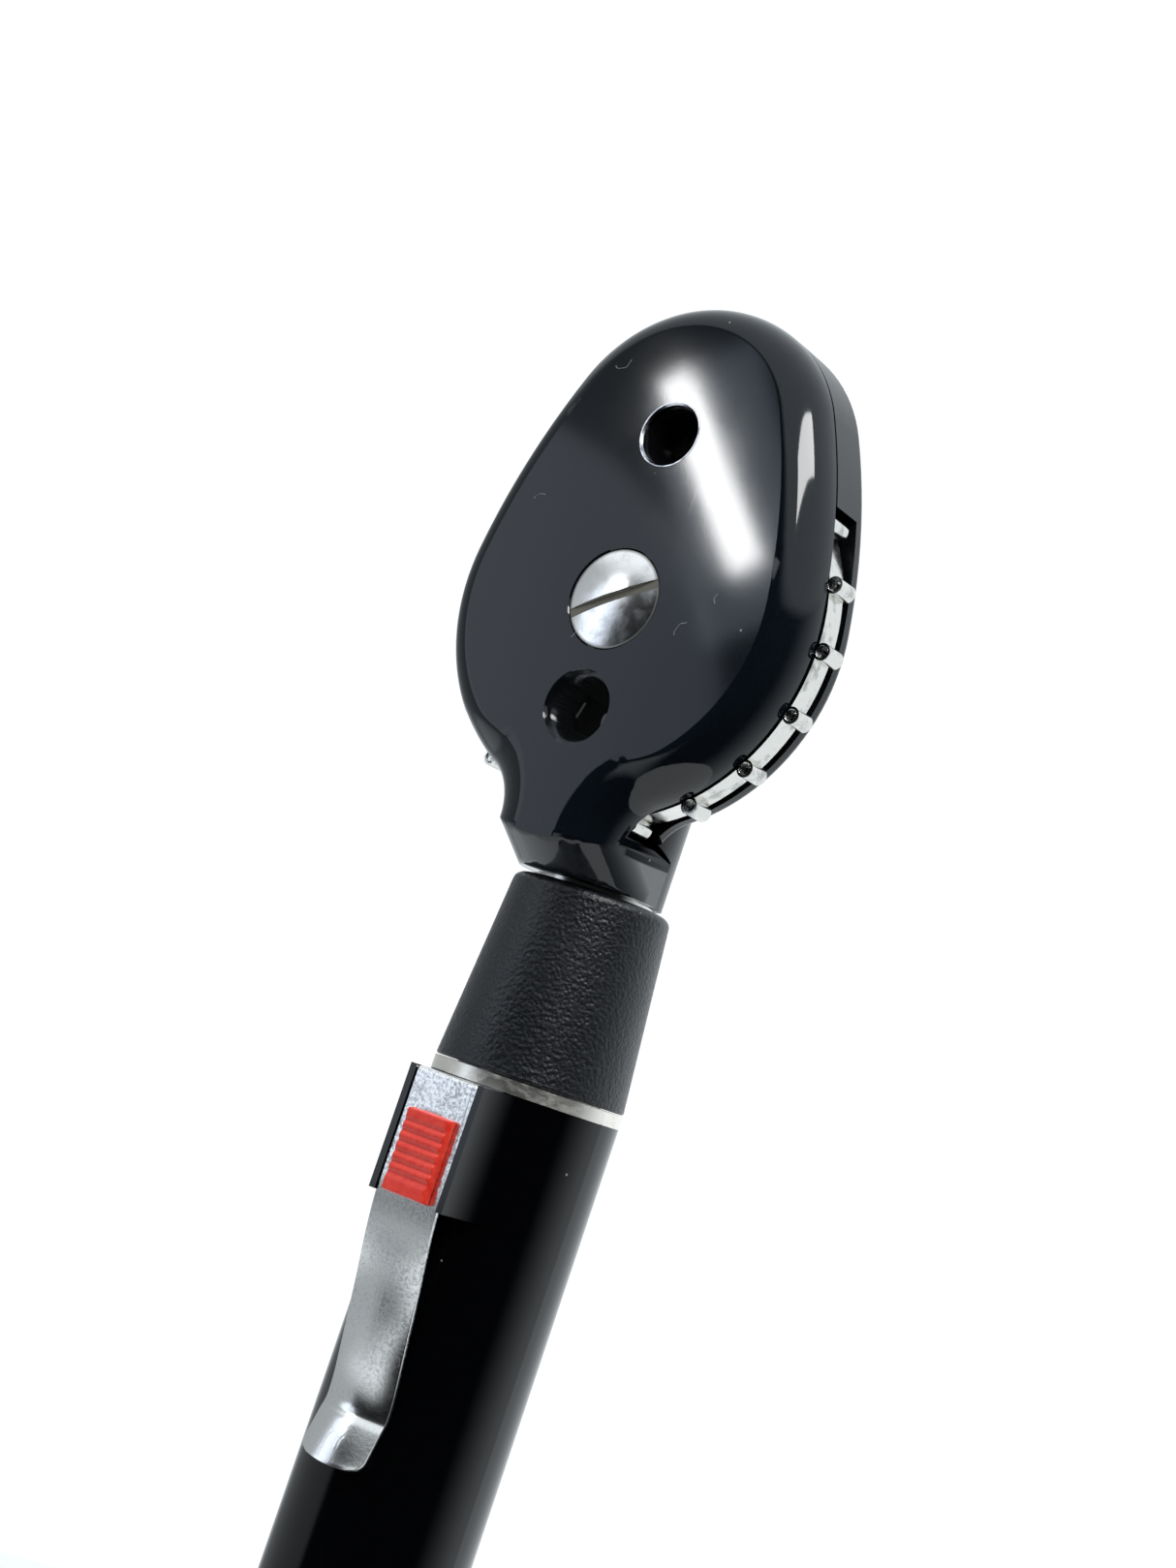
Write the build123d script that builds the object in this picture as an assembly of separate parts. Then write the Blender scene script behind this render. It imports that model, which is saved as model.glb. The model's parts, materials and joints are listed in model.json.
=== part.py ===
from build123d import *
import math
import os

# Pocket ophthalmoscope, millimetres. +Z runs up the handle, the examiner's side faces -Y,
# and the origin is the centre of the end cap's base. Radii end in _R, heights along the
# handle in _Z, _TOP or _BOTTOM, and depths in _Y.

# ---- driving dimensions -------------------------------------------------------------------
BARREL_R = 10.0
CELL_R = 7.0
CELL_LENGTH = 49.5
CELL_BORE_R = 7.4
SHELL = 1.5              # wall of the moulded head
RUN = 0.1                # running clearance of threads and slides
FIT = 0.03               # clearance of a piece that sits still in its seat

CAP_TOP = 9.4
BARREL_BOTTOM = 10.3
RING_BOTTOM = 113.2
RING_TOP = 114.6
COLLAR_BOTTOM = RING_TOP + RUN
COLLAR_TOP = 134.9
NECK_BOTTOM = 135.4

PIVOT_Z = 162.7          # lens wheel axis
LENS_CIRCLE_R = 17.6     # lens centres from the pivot
DIAL_CIRCLE_R = 11.4     # dial figures from the pivot
DETENT_CIRCLE_R = 13.9   # dimples in the wheel's back
SIGHT_Z = PIVOT_Z + LENS_CIRCLE_R
WINDOW_Z = PIVOT_Z - DIAL_CIRCLE_R
LENS_COUNT = 20
LENS_STEP = 360.0 / LENS_COUNT
EMPTY_SEAT = 5           # seat of zero power, behind the sight hole at rest

FACE_Y = -13.0           # front face of the cover
SEAM_Y = -8.0            # rear edge of the cover
CASING_FRONT_Y = -7.7
CASING_FLOOR_Y = -3.6    # floor of the wheel cavity
CASING_BACK_Y = -1.8
PIVOT_BOSS_Y = -4.0      # seat of the pivot screw on the casing floor
WHEEL_FRONT_Y = -7.4
WHEEL_BACK_Y = -4.6
WHEEL_R = 21.2
WHEEL_CAVITY_R = 23.3

TUNNEL_Y = 1.6           # light path up the back of the head
TUNNEL_R = 4.0
MIRROR_Z = 175.5

CLIP_FACE_Y = -13.05     # outer face of the clip plate
CLIP_SHEET = 0.6
CLIP_HALF = 3.95
CLIP_FLEX_Z = 98.95      # line where the leaf bends away from the plate

SWITCH_Z = 104.85        # middle of the slide button at rest, 3 mm below its upper stop

OUTSIDE = 30.0           # reach of a cutter that runs past the object's sides
ABOVE = 210.0            # height of a cutter that runs past the object's top


# ---- basic shapes -------------------------------------------------------------------------
def cyl(radius, low, high, x=0.0, y=0.0):
    """Upright cylinder between two heights."""
    return Pos(x, y, (low + high) / 2) * Cylinder(radius, high - low)


def rod(radius, front, back, x, z):
    """Cylinder along Y between two depths."""
    return Pos(x, (front + back) / 2, z) * Rot(90, 0, 0) * Cylinder(radius, back - front)


def block(x_range, y_range, z_range):
    """Box given by its limits on each axis."""
    ranges = (x_range, y_range, z_range)
    middle = [(low + high) / 2 for low, high in ranges]
    size = [high - low for low, high in ranges]
    return Pos(*middle) * Box(*size)


def strip(half_width, y_range, z_range):
    """Box centred on the object's middle plane."""
    return block((-half_width, half_width), y_range, z_range)


def turned(points):
    """Solid turned about Z from (radius, height) points."""
    outline = Polyline(*[(r, 0, z) for r, z in points], close=True)
    return revolve(Face(Wire(outline.edges())), Axis.Z, 360)


def turned_about_y(points, z):
    """Solid turned about a Y axis at height z from (radius, depth) points."""
    outline = Polyline(*[(r, y, 0) for r, y in points], close=True)
    return Pos(0, 0, z) * revolve(Face(Wire(outline.edges())), Axis.Y, 360)


def side_profile(points, half_width):
    """Prism across X from (depth, height) points."""
    outline = Polyline(*[(-half_width, y, z) for y, z in points], close=True)
    return extrude(Face(Wire(outline.edges())), 2 * half_width, dir=(1, 0, 0))


def on_wheel(radius, degrees):
    """X and Z of a point on a circle about the pivot."""
    angle = math.radians(degrees)
    return radius * math.cos(angle), PIVOT_Z + radius * math.sin(angle)


def edges_at_depth(shape, y):
    return shape.edges().filter_by_position(Axis.Y, y - 0.01, y + 0.01)


def rim_edges(shape, y):
    """Edges of the head's outline at depth y, without the straight foot of the neck."""
    foot_top = NECK_BOTTOM + SHELL + 0.1
    return [edge for edge in edges_at_depth(shape, y) if edge.bounding_box().max.Z > foot_top]


# ---- head outline -------------------------------------------------------------------------
LOW_R = 21.2             # lower circle, about the pivot
TOP_R = 16.3
TOP_Z = 179.1
SIDE_Z = 155.2           # height of the centres of the long side arcs
NECK_HALF = 7.1
NECK_FILLET_R = 6.0
# the side arcs touch both circles
SIDE_R = (LOW_R ** 2 - TOP_R ** 2 - (PIVOT_Z - SIDE_Z) ** 2 + (TOP_Z - SIDE_Z) ** 2) / (
    2 * (LOW_R - TOP_R)
)
SIDE_X = -math.sqrt((SIDE_R - LOW_R) ** 2 - (PIVOT_Z - SIDE_Z) ** 2)


def arc_middle(centre, radius, start, end):
    """Point half way along an arc."""
    angles = [math.atan2(p[1] - centre[1], p[0] - centre[0]) for p in (start, end)]
    middle = sum(angles) / 2
    return centre[0] + radius * math.cos(middle), centre[1] + radius * math.sin(middle)


def away_from(centre, through, radius):
    """Point at the given radius on the ray from one point through another."""
    reach = math.hypot(through[0] - centre[0], through[1] - centre[1])
    share = radius / reach
    return tuple(c + share * (t - c) for c, t in zip(centre, through))


def head_outline(inset, y):
    """Face of the egg-shaped head and its neck, shrunk by inset, at depth y."""
    low_r = LOW_R - inset
    top_r = TOP_R - inset
    side_r = SIDE_R - inset
    neck = NECK_HALF - inset
    fillet_r = NECK_FILLET_R + inset
    pivot = (0.0, PIVOT_Z)
    top = (0.0, TOP_Z)
    side_centre = (SIDE_X, SIDE_Z)
    fillet_x = neck + fillet_r
    fillet_centre = (fillet_x, PIVOT_Z - math.sqrt((low_r + fillet_r) ** 2 - fillet_x ** 2))

    neck_foot = (neck, NECK_BOTTOM)
    neck_head = (neck, fillet_centre[1])
    shoulder = away_from(pivot, fillet_centre, low_r)
    waist = away_from(side_centre, pivot, side_r)
    temple = away_from(side_centre, top, side_r)
    crown = (0.0, TOP_Z + top_r)
    turn = (math.pi + math.atan2(shoulder[1] - fillet_centre[1], shoulder[0] - fillet_x)) / 2
    fillet_middle = (
        fillet_x + fillet_r * math.cos(turn),
        fillet_centre[1] + fillet_r * math.sin(turn),
    )
    arcs = (
        (neck_head, fillet_middle, shoulder),
        (shoulder, arc_middle(pivot, low_r, shoulder, waist), waist),
        (waist, arc_middle(side_centre, side_r, waist, temple), temple),
    )

    def place(point, side):
        return (side * point[0], y, point[1])

    edges = [
        Edge.make_line(place(neck_foot, -1), place(neck_foot, 1)),
        Edge.make_three_point_arc(place(temple, 1), place(crown, 1), place(temple, -1)),
    ]
    for side in (1, -1):
        edges.append(Edge.make_line(place(neck_foot, side), place(neck_head, side)))
        for arc in arcs:
            edges.append(Edge.make_three_point_arc(*[place(point, side) for point in arc]))
    return Face(Wire(edges))


def head_slab(inset, front, back):
    """The head outline given a thickness."""
    return extrude(head_outline(inset, front), back - front, dir=(0, 1, 0))


def rounded_slab(inset, front, back, radius):
    """Head slab whose front rim is rounded."""
    slab = head_slab(inset, front, back)
    return fillet(rim_edges(slab, front), radius)


# ---- front cover --------------------------------------------------------------------------
FACE_EDGE_R = 4.9
NECK_REST_Y = -1.9       # middle of the round neck where it meets the collar
NECK_LEAN = (0.0, -4.7, 3.0)
NECK_SPLIT_Y = 1.0       # seam down the side of the neck
NECK_SPLIT_Z = 140.0
SLOT_FOOT = (SEAM_Y, 141.3)
CAVITY_BOTTOM = 143.5
SCREW_POSTS = ((8.5, 187.5), (-8.5, 187.5))
POST_R = 2.0
PILOT_R = 0.8
PILOT_Y = -11.0
STEM_SPIGOT_R = 5.4
STEM_SPIGOT_TOP = 139.5
PIVOT_HEAD_R = 5.2
SIGHT_BORE_R = 3.53
WINDOW_R = 3.9
WINDOW_BORE_R = 3.5
BEHIND = 1.0             # how far a cutter overruns the face that it opens


def under_face_cutter():
    """Everything in front of the leaning half-round underside of the head."""
    reach = NECK_HALF
    low = NECK_BOTTOM - BEHIND
    start_y = NECK_REST_Y - NECK_LEAN[1] / NECK_LEAN[2]
    far_y = -OUTSIDE
    corners = [
        (reach, start_y, low),
        (OUTSIDE, start_y, low),
        (OUTSIDE, far_y, low),
        (-OUTSIDE, far_y, low),
        (-OUTSIDE, start_y, low),
        (-reach, start_y, low),
    ]
    edges = [Edge.make_three_point_arc(corners[-1], (0, start_y - reach, low), corners[0])]
    for start, end in zip(corners, corners[1:]):
        edges.append(Edge.make_line(start, end))
    return extrude(Face(Wire(edges)), OUTSIDE / 2 + 3, dir=NECK_LEAN)


def stem_socket():
    return cyl(STEM_SPIGOT_R + 0.05, NECK_BOTTOM - BEHIND, STEM_SPIGOT_TOP + RUN)


def cover_cavity():
    """Hollow of the cover, which leaves a wall round each hole and screw."""
    cavity = rounded_slab(SHELL, FACE_Y + SHELL, SEAM_Y + BEHIND, FACE_EDGE_R - SHELL)
    cavity &= block((-OUTSIDE, OUTSIDE), (-OUTSIDE, 0), (CAVITY_BOTTOM, ABOVE))
    bosses = [
        (PIVOT_HEAD_R + 1.2, 0, PIVOT_Z),
        (SIGHT_BORE_R + 0.9, 0, SIGHT_Z),
        (WINDOW_R + 1.3, 0, WINDOW_Z),
    ]
    bosses += [(POST_R, x, z) for x, z in SCREW_POSTS]
    for radius, x, z in bosses:
        cavity -= rod(radius, FACE_Y, 0, x, z)
    return cavity


def front_cover():
    slab = rounded_slab(0, FACE_Y, SEAM_Y, FACE_EDGE_R)
    neck = head_slab(0, SEAM_Y - 0.5, NECK_SPLIT_Y)
    neck &= side_profile(
        [
            (FACE_Y, NECK_BOTTOM),
            (NECK_SPLIT_Y, NECK_BOTTOM),
            (NECK_SPLIT_Y, NECK_SPLIT_Z),
            SLOT_FOOT,
            (FACE_Y, SLOT_FOOT[1]),
        ],
        OUTSIDE,
    )
    cutter = under_face_cutter()
    cover = (slab - cutter) + (neck - cutter) - cover_cavity()
    front = FACE_Y - BEHIND
    back = SEAM_Y + BEHIND
    for x, z in SCREW_POSTS:
        cover -= rod(PILOT_R, PILOT_Y, back, x, z)
    cover -= rod(PIVOT_HEAD_R + 0.2, front, -12.0, 0, PIVOT_Z)
    cover -= rod(PIVOT_SHANK_R + 0.15, front, back, 0, PIVOT_Z)
    cover -= rod(SIGHT_BORE_R, front, back, 0, SIGHT_Z)
    cover -= rod(WINDOW_R + FIT, front, -12.2, 0, WINDOW_Z)
    cover -= rod(WINDOW_BORE_R, front, back, 0, WINDOW_Z)
    cover -= stem_socket()
    cover -= cyl(TUNNEL_R, STEM_SPIGOT_TOP, CAVITY_BOTTOM + SHELL, 0, TUNNEL_Y)
    cover -= rod(WHEEL_CAVITY_R, SEAM_Y, CASING_FLOOR_Y, 0, PIVOT_Z)
    return cover


def sight_rim():
    """Bright ring pressed into the sight hole."""
    return turned_about_y(
        [(3.5, -13.05), (3.5, -12.2), (3.22, -12.2), (3.22, -12.85), (3.40, -13.05)], SIGHT_Z
    )


def sight_tube():
    """Dark cone behind the rim that narrows to the eye's aperture."""
    return turned_about_y(
        [(3.5, -12.15), (3.5, -7.9), (2.1, -7.9), (2.1, -8.6), (3.15, -12.15)], SIGHT_Z
    )


def dial_window():
    """Clear disc set just below the face."""
    return rod(WINDOW_R, -12.75, -12.25, 0, WINDOW_Z)


# ---- back casing --------------------------------------------------------------------------
CASING_EDGE_R = 1.0
SPINE_TOP = 182.0
BACK_FLAT_Y = 5.8        # flat round the patient's window
BACK_FLAT_Z = (171.0, 186.3)
HEAD_RECESS_Y = -2.9     # seat of a casing screw's head
HEAD_RECESS_R = 1.9
SIGHT_EXIT_R = 2.6


def mirror_chamber():
    """Space for the mirror, its light path and the window in front of it."""
    chamber = strip(4.3, (-0.9, 4.3), (171, 184.3))
    chamber += strip(2.6, (4.0, 6.5), (174, 183.2))
    return chamber + strip(3.2, (4.9, 9), (173.4, 183.8))


def casing_spine():
    """Round back that carries the light path, with a flat for the window."""
    spine = cyl(NECK_HALF, NECK_BOTTOM, SPINE_TOP) + Pos(0, 0, SPINE_TOP) * Sphere(NECK_HALF)
    spine &= strip(OUTSIDE, (CASING_FLOOR_Y + 0.4, OUTSIDE), (NECK_BOTTOM - BEHIND, ABOVE))
    return spine - strip(OUTSIDE, (BACK_FLAT_Y, OUTSIDE), BACK_FLAT_Z)


def back_casing():
    slab = head_slab(0, CASING_FRONT_Y, CASING_BACK_Y)
    slab = fillet(rim_edges(slab, CASING_BACK_Y), CASING_EDGE_R)
    slab -= rod(WHEEL_CAVITY_R, CASING_FRONT_Y - BEHIND, CASING_FLOOR_Y, 0, PIVOT_Z)
    crown_cavity = head_slab(SHELL, CASING_FRONT_Y - BEHIND, CASING_FLOOR_Y)
    crown_cavity &= strip(OUTSIDE, (-OUTSIDE, 0), (SIGHT_Z - 0.3, ABOVE))
    for x, z in SCREW_POSTS:
        crown_cavity -= rod(POST_R + 0.2, CASING_FRONT_Y - BEHIND, 0, x, z)
    casing = slab - crown_cavity + casing_spine()
    foot = [
        (CASING_FRONT_Y - BEHIND, NECK_BOTTOM - BEHIND),
        (NECK_SPLIT_Y + RUN, NECK_BOTTOM - BEHIND),
        (NECK_SPLIT_Y + RUN, NECK_SPLIT_Z + 0.25),
        (CASING_FLOOR_Y, SLOT_FOOT[1] + 0.7),
        (CASING_FRONT_Y - BEHIND, SLOT_FOOT[1] + 0.7),
    ]
    casing -= side_profile(foot, OUTSIDE)
    casing -= stem_socket()
    casing -= cyl(TUNNEL_R, STEM_SPIGOT_TOP, BACK_FLAT_Z[0] + 0.5, 0, TUNNEL_Y)
    casing -= mirror_chamber()
    casing -= rod(SIGHT_EXIT_R, PIVOT_BOSS_Y, 0, 0, SIGHT_Z)
    casing += rod(PIVOT_BUSH_R, PIVOT_BOSS_Y, -2.5, 0, PIVOT_Z)
    casing -= rod(1.0, CASING_FRONT_Y, -2.6, 0, PIVOT_Z)
    for x, z in SCREW_POSTS:
        casing -= rod(PILOT_R + 0.25, CASING_FRONT_Y - BEHIND, 0, x, z)
        casing -= rod(HEAD_RECESS_R, HEAD_RECESS_Y, 0, x, z)
    return casing


def casing_screw(x, z):
    """Small cheese-head screw from the back into the cover's post."""
    seat = HEAD_RECESS_Y + 0.05
    top = CASING_BACK_Y - 0.15
    screw = rod(HEAD_RECESS_R - RUN, seat, top, x, z)
    screw += rod(PILOT_R - 0.02, PILOT_Y + 0.5, seat, x, z)
    return screw - block((x - POST_R, x + POST_R), (top - 0.4, 0), (z - 0.22, z + 0.22))


def casing_screws():
    return Compound([casing_screw(x, z).solid() for x, z in SCREW_POSTS])


# ---- pivot and wheel ----------------------------------------------------------------------
PIVOT_SHANK_R = 1.95
PIVOT_BUSH_R = 3.0
PIVOT_SLOT = 1.0         # width of the screwdriver slot
PIVOT_SLOT_TURN = 27.0
PIVOT_TOP_Y = -13.4
DOME_R = 24.0
NUB_R = 0.9
NUB_CIRCLE_R = 21.7
SEAT_R = 2.45            # lens seats in the wheel
DIAL_R = (9.4, 13.3)     # inner and outer edge of the dial ring
DIAL_SHEET = 0.1
HUB_R = 4.4
DIMPLE_R = 1.0
DIMPLE_RISE = 0.7
DETENT_ANGLE = 216.0
DETENT_BALL_R = 0.32
DETENT_HALF = 1.4
DETENT_SHEET = 0.2


def pivot_screw():
    """Domed screw whose slotted head fills the middle of the cover."""
    head = rod(PIVOT_HEAD_R, PIVOT_TOP_Y, -12.1, 0, PIVOT_Z)
    head &= Pos(0, PIVOT_TOP_Y + DOME_R, PIVOT_Z) * Sphere(DOME_R)
    screw = head + rod(PIVOT_SHANK_R, -12.2, PIVOT_BOSS_Y - 0.02, 0, PIVOT_Z)
    screw += rod(0.98, PIVOT_BOSS_Y - RUN, -2.7, 0, PIVOT_Z)
    half = PIVOT_SLOT / 2
    slot = Rot(0, -PIVOT_SLOT_TURN, 0) * block((-6, 6), (-14, -12.8), (-half, half))
    return screw - Pos(0, 0, PIVOT_Z) * slot


def pivot_bush():
    """Sleeve that the lens wheel turns on."""
    sleeve = rod(PIVOT_BUSH_R, SEAM_Y + 0.05, PIVOT_BOSS_Y - 0.02, 0, PIVOT_Z)
    return sleeve - rod(PIVOT_SHANK_R + 0.05, SEAM_Y - BEHIND, PIVOT_BOSS_Y + BEHIND, 0, PIVOT_Z)


def lens_wheel():
    """Wheel with a seat for each lens, a finger nub beside it and a dimple behind it."""
    before = WHEEL_FRONT_Y - BEHIND
    behind = WHEEL_BACK_Y + 0.5
    wheel = rod(WHEEL_R, WHEEL_FRONT_Y, WHEEL_BACK_Y, 0, PIVOT_Z)
    for index in range(LENS_COUNT):
        x, z = on_wheel(NUB_CIRCLE_R, index * LENS_STEP)
        wheel += rod(NUB_R, WHEEL_FRONT_Y, WHEEL_BACK_Y, x, z)
    for index in range(LENS_COUNT):
        x, z = on_wheel(LENS_CIRCLE_R, index * LENS_STEP)
        wheel -= rod(SEAT_R, before, behind, x, z)
        x, z = on_wheel(DETENT_CIRCLE_R, index * LENS_STEP)
        wheel -= Pos(x, WHEEL_BACK_Y + DIMPLE_RISE, z) * Sphere(DIMPLE_R)
    recess = rod(DIAL_R[0], before, WHEEL_FRONT_Y + 0.3, 0, PIVOT_Z)
    wheel -= recess - rod(HUB_R, before, behind, 0, PIVOT_Z)
    return wheel - rod(PIVOT_BUSH_R + RUN, before, behind, 0, PIVOT_Z)


def dial_ring():
    """Thin black ring on the wheel's front that carries the dial figures."""
    front = WHEEL_FRONT_Y - DIAL_SHEET
    ring = rod(DIAL_R[1], front, WHEEL_FRONT_Y, 0, PIVOT_Z)
    return ring - rod(DIAL_R[0] + RUN, front - BEHIND, WHEEL_FRONT_Y, 0, PIVOT_Z)


def wheel_lens(index):
    """One trial lens. Low numbers hollow out its front, high numbers dome it."""
    x, z = on_wheel(LENS_CIRCLE_R, index * LENS_STEP)
    power = index - EMPTY_SEAT
    lens_r = SEAT_R - 0.02
    back = -5.2
    rim = -6.3
    middle = rim - 0.06 * power
    near_middle = rim + 0.75 * (middle - rim)
    corners = [(lens_r, rim, 0), (lens_r, back, 0), (0, back, 0), (0, middle, 0)]
    edges = [Edge.make_three_point_arc(corners[-1], (lens_r / 2, near_middle, 0), corners[0])]
    for start, end in zip(corners, corners[1:]):
        edges.append(Edge.make_line(start, end))
    lens = revolve(Face(Wire(edges)), Axis.Y, 360)
    return (Pos(x, 0, z) * lens).solid()


def wheel_lenses():
    """Every seat holds a lens except the empty one of zero power."""
    indices = [i for i in range(LENS_COUNT) if i != EMPTY_SEAT]
    return Compound([wheel_lens(i) for i in indices])


def detent_spring():
    """Thin leaf on the casing floor, under the wheel."""
    x, z = on_wheel(DETENT_CIRCLE_R, DETENT_ANGLE)
    back = CASING_FLOOR_Y - 0.05
    return block(
        (x - DETENT_HALF, x + 9), (back - DETENT_SHEET, back), (z - DETENT_HALF, z + DETENT_HALF)
    )


def detent_ball():
    """Ball that the leaf holds in a dimple of the wheel."""
    x, z = on_wheel(DETENT_CIRCLE_R, DETENT_ANGLE)
    front_of_leaf = CASING_FLOOR_Y - 0.08 - DETENT_SHEET
    return Pos(x, front_of_leaf - DETENT_BALL_R, z) * Sphere(DETENT_BALL_R)


# ---- optics -------------------------------------------------------------------------------
TUBE_BORE_R = 3.3
OPTIC_R = 3.28


def optical_tube():
    """Lining of the light path that spaces the lenses."""
    tube = cyl(TUNNEL_R - FIT, 140, 170, 0, TUNNEL_Y)
    return tube - cyl(TUBE_BORE_R, 140 - BEHIND, 170 + BEHIND, 0, TUNNEL_Y)


def domed_lens(low, high, dome_r, dome_z):
    """Lens in the tube whose top is a dome."""
    return cyl(OPTIC_R, low, high, 0, TUNNEL_Y) & Pos(0, TUNNEL_Y, dome_z) * Sphere(dome_r)


def condenser_lens():
    return domed_lens(141, 144, 5.4, 138.6)


def focusing_lens():
    return domed_lens(165.5, 168, 7.0, 161)


def aperture_stop():
    stop = cyl(OPTIC_R, 155, 155.6, 0, TUNNEL_Y)
    return stop - cyl(0.9, 155 - BEHIND, 155.6 + BEHIND, 0, TUNNEL_Y)


def mirror_plate():
    """Mirror at 45 degrees that turns the light out through the back window."""
    half_sheet = 0.22
    place = Pos(0, TUNNEL_Y - half_sheet, MIRROR_Z + half_sheet)
    return place * Rot(45, 0, 0) * Box(5.4, 5.2, 0.6)


def mirror_holder():
    """Wedge that the mirror is bonded to."""
    return side_profile([(-0.9, 174.05), (-0.9, 177.8), (2.85, 177.8)], 4.28)


def patient_window():
    return strip(3.15, (4.95, 5.7), (173.45, 183.75))


# ---- stem, lamp and collar ----------------------------------------------------------------
SPIGOT_R = 7.6           # threaded spigot of the handle's ring
SPIGOT_TOP = 121.0
STEM_R = 6.2
STEM_FLANGE_R = 7.4
STEM_FLANGE_TOP = 123.0
STEM_FOOT = 115.0
LAMP_R = 4.65
LAMP_GLASS_R = 3.3
COLLAR_TOP_R = 8.3
COLLAR_EDGE_R = 1.0


def head_stem():
    """Metal tube that carries the head and holds the lamp."""
    shoulder = NECK_BOTTOM - 0.05
    return turned(
        [
            (LAMP_R + 0.05, STEM_FOOT),
            (5.5, STEM_FOOT),
            (5.5, SPIGOT_TOP + RUN),
            (STEM_FLANGE_R, SPIGOT_TOP + RUN),
            (STEM_FLANGE_R, STEM_FLANGE_TOP),
            (STEM_R, STEM_FLANGE_TOP),
            (STEM_R, shoulder),
            (STEM_SPIGOT_R, shoulder),
            (STEM_SPIGOT_R, STEM_SPIGOT_TOP),
            (4.0, STEM_SPIGOT_TOP),
            (4.0, 134.0),
            (LAMP_R + 0.05, 134.0),
        ]
    )


def lamp_base():
    """Brass sleeve of the lamp with its centre contact."""
    return turned(
        [
            (0, STEM_FOOT),
            (1.3, STEM_FOOT),
            (1.5, STEM_FOOT + 0.5),
            (LAMP_R, STEM_FOOT + 0.5),
            (LAMP_R, 125.0),
            (LAMP_GLASS_R + 0.1, 126.0),
            (0, 126.0),
        ]
    )


def lamp_glass():
    return cyl(LAMP_GLASS_R, 126.0, 129.5) + Pos(0, 0, 129.5) * Sphere(LAMP_GLASS_R)


def grip_collar():
    """Captive nut that pulls the stem down on the handle's ring."""
    ledge = STEM_FLANGE_TOP + 0.15
    collar = turned(
        [
            (SPIGOT_R + RUN, COLLAR_BOTTOM),
            (BARREL_R, COLLAR_BOTTOM),
            (COLLAR_TOP_R, COLLAR_TOP),
            (STEM_R + RUN, COLLAR_TOP),
            (STEM_R + RUN, ledge),
            (SPIGOT_R + RUN, ledge),
        ]
    )
    top_circles = collar.edges().filter_by(GeomType.CIRCLE).group_by(Axis.Z)[-1]
    return fillet(top_circles.sort_by(SortBy.RADIUS)[-1], COLLAR_EDGE_R)


# ---- handle -------------------------------------------------------------------------------
BOSS_BOTTOM = 100.4
BOSS_HALF = 4.75         # half-width of the switch housing's front
BOSS_FOOT_X = 6.82       # where its flanks meet the barrel
BOSS_FLANK = (5.3, -9.7)
LIP = 0.2                # the housing's lips stand this far proud of the clip
THREAD_R = 8.9           # bore at the foot of the barrel for the cap
THREAD_TOP = 16.5
RING_SEAT_R = 8.45
RING_SEAT_Z = 109.9
STRIP_HALF = 1.8
STRIP_Y = (-8.15, -7.75)
POCKET_Y = -8.2


def boss_section(z):
    """Plan of the switch housing with its hollow flanks."""
    back_y = -math.sqrt(BARREL_R ** 2 - BOSS_FOOT_X ** 2)
    front_y = CLIP_FACE_Y - LIP
    inside = (0, -CELL_BORE_R + 2.4, z)
    edges = [Edge.make_line((-BOSS_HALF, front_y, z), (BOSS_HALF, front_y, z))]
    for side in (1, -1):
        front = (side * BOSS_HALF, front_y, z)
        foot = (side * BOSS_FOOT_X, back_y, z)
        edges.append(
            Edge.make_three_point_arc(front, (side * BOSS_FLANK[0], BOSS_FLANK[1], z), foot)
        )
        edges.append(Edge.make_line(foot, inside))
    return Face(Wire(edges))


def handle_body():
    """Barrel and switch housing, moulded in one."""
    seat_half = CLIP_HALF + FIT
    body = cyl(BARREL_R, BARREL_BOTTOM, RING_BOTTOM)
    body += extrude(boss_section(BOSS_BOTTOM), RING_BOTTOM - RUN - BOSS_BOTTOM, dir=(0, 0, 1))
    body -= cyl(CELL_BORE_R, 0, RING_TOP)
    body -= cyl(THREAD_R, 0, THREAD_TOP)
    body -= cyl(RING_SEAT_R, RING_SEAT_Z, RING_TOP)
    body -= strip(STRIP_HALF + 0.2, (STRIP_Y[0] - 0.15, 0), (0, RING_TOP))
    body -= strip(seat_half, (-OUTSIDE, CLIP_FACE_Y + CLIP_SHEET), (BOSS_BOTTOM - 9, 112.55))
    body -= strip(seat_half, (-OUTSIDE, -8.9), (112.5, RING_TOP))
    return body - strip(3.4, (CLIP_FACE_Y, POCKET_Y), (101.3, 112.0))


def handle_ring():
    """Nickel ring with the thread that takes the head's collar."""
    seat = RING_SEAT_Z + RUN
    inner_r = 5.6
    under = RING_BOTTOM + 0.02
    return turned(
        [
            (inner_r, seat),
            (RING_SEAT_R - 0.05, seat),
            (RING_SEAT_R - 0.05, under),
            (BARREL_R, under),
            (BARREL_R, RING_TOP),
            (SPIGOT_R, RING_TOP),
            (SPIGOT_R, SPIGOT_TOP),
            (inner_r, SPIGOT_TOP),
        ]
    )


def insulator():
    return cyl(5.55, 110.0, 113.0) - cyl(1.2, 100, 120)


def centre_contact():
    return cyl(2.2, 109.5, 109.95) + cyl(1.15, 109.9, 114.9)


def lower_contact_strip():
    """Contact strip from the end cap to the switch."""
    return strip(STRIP_HALF, STRIP_Y, (17.0, 106.6))


def upper_contact_strip():
    """Contact strip from the switch to the ring."""
    return strip(STRIP_HALF, STRIP_Y, (107.0, 109.8))


# ---- clip ---------------------------------------------------------------------------------
CLIP_TOP = 113.15
LEAF_KNEE = (-12.1, 94.5)
LEAF_TOUCH = (-10.65, 80.3)   # outer face where the leaf rests on the barrel
LEAF_TIP = (-11.95, 74.6)
TIP_R = 9.0


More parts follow.
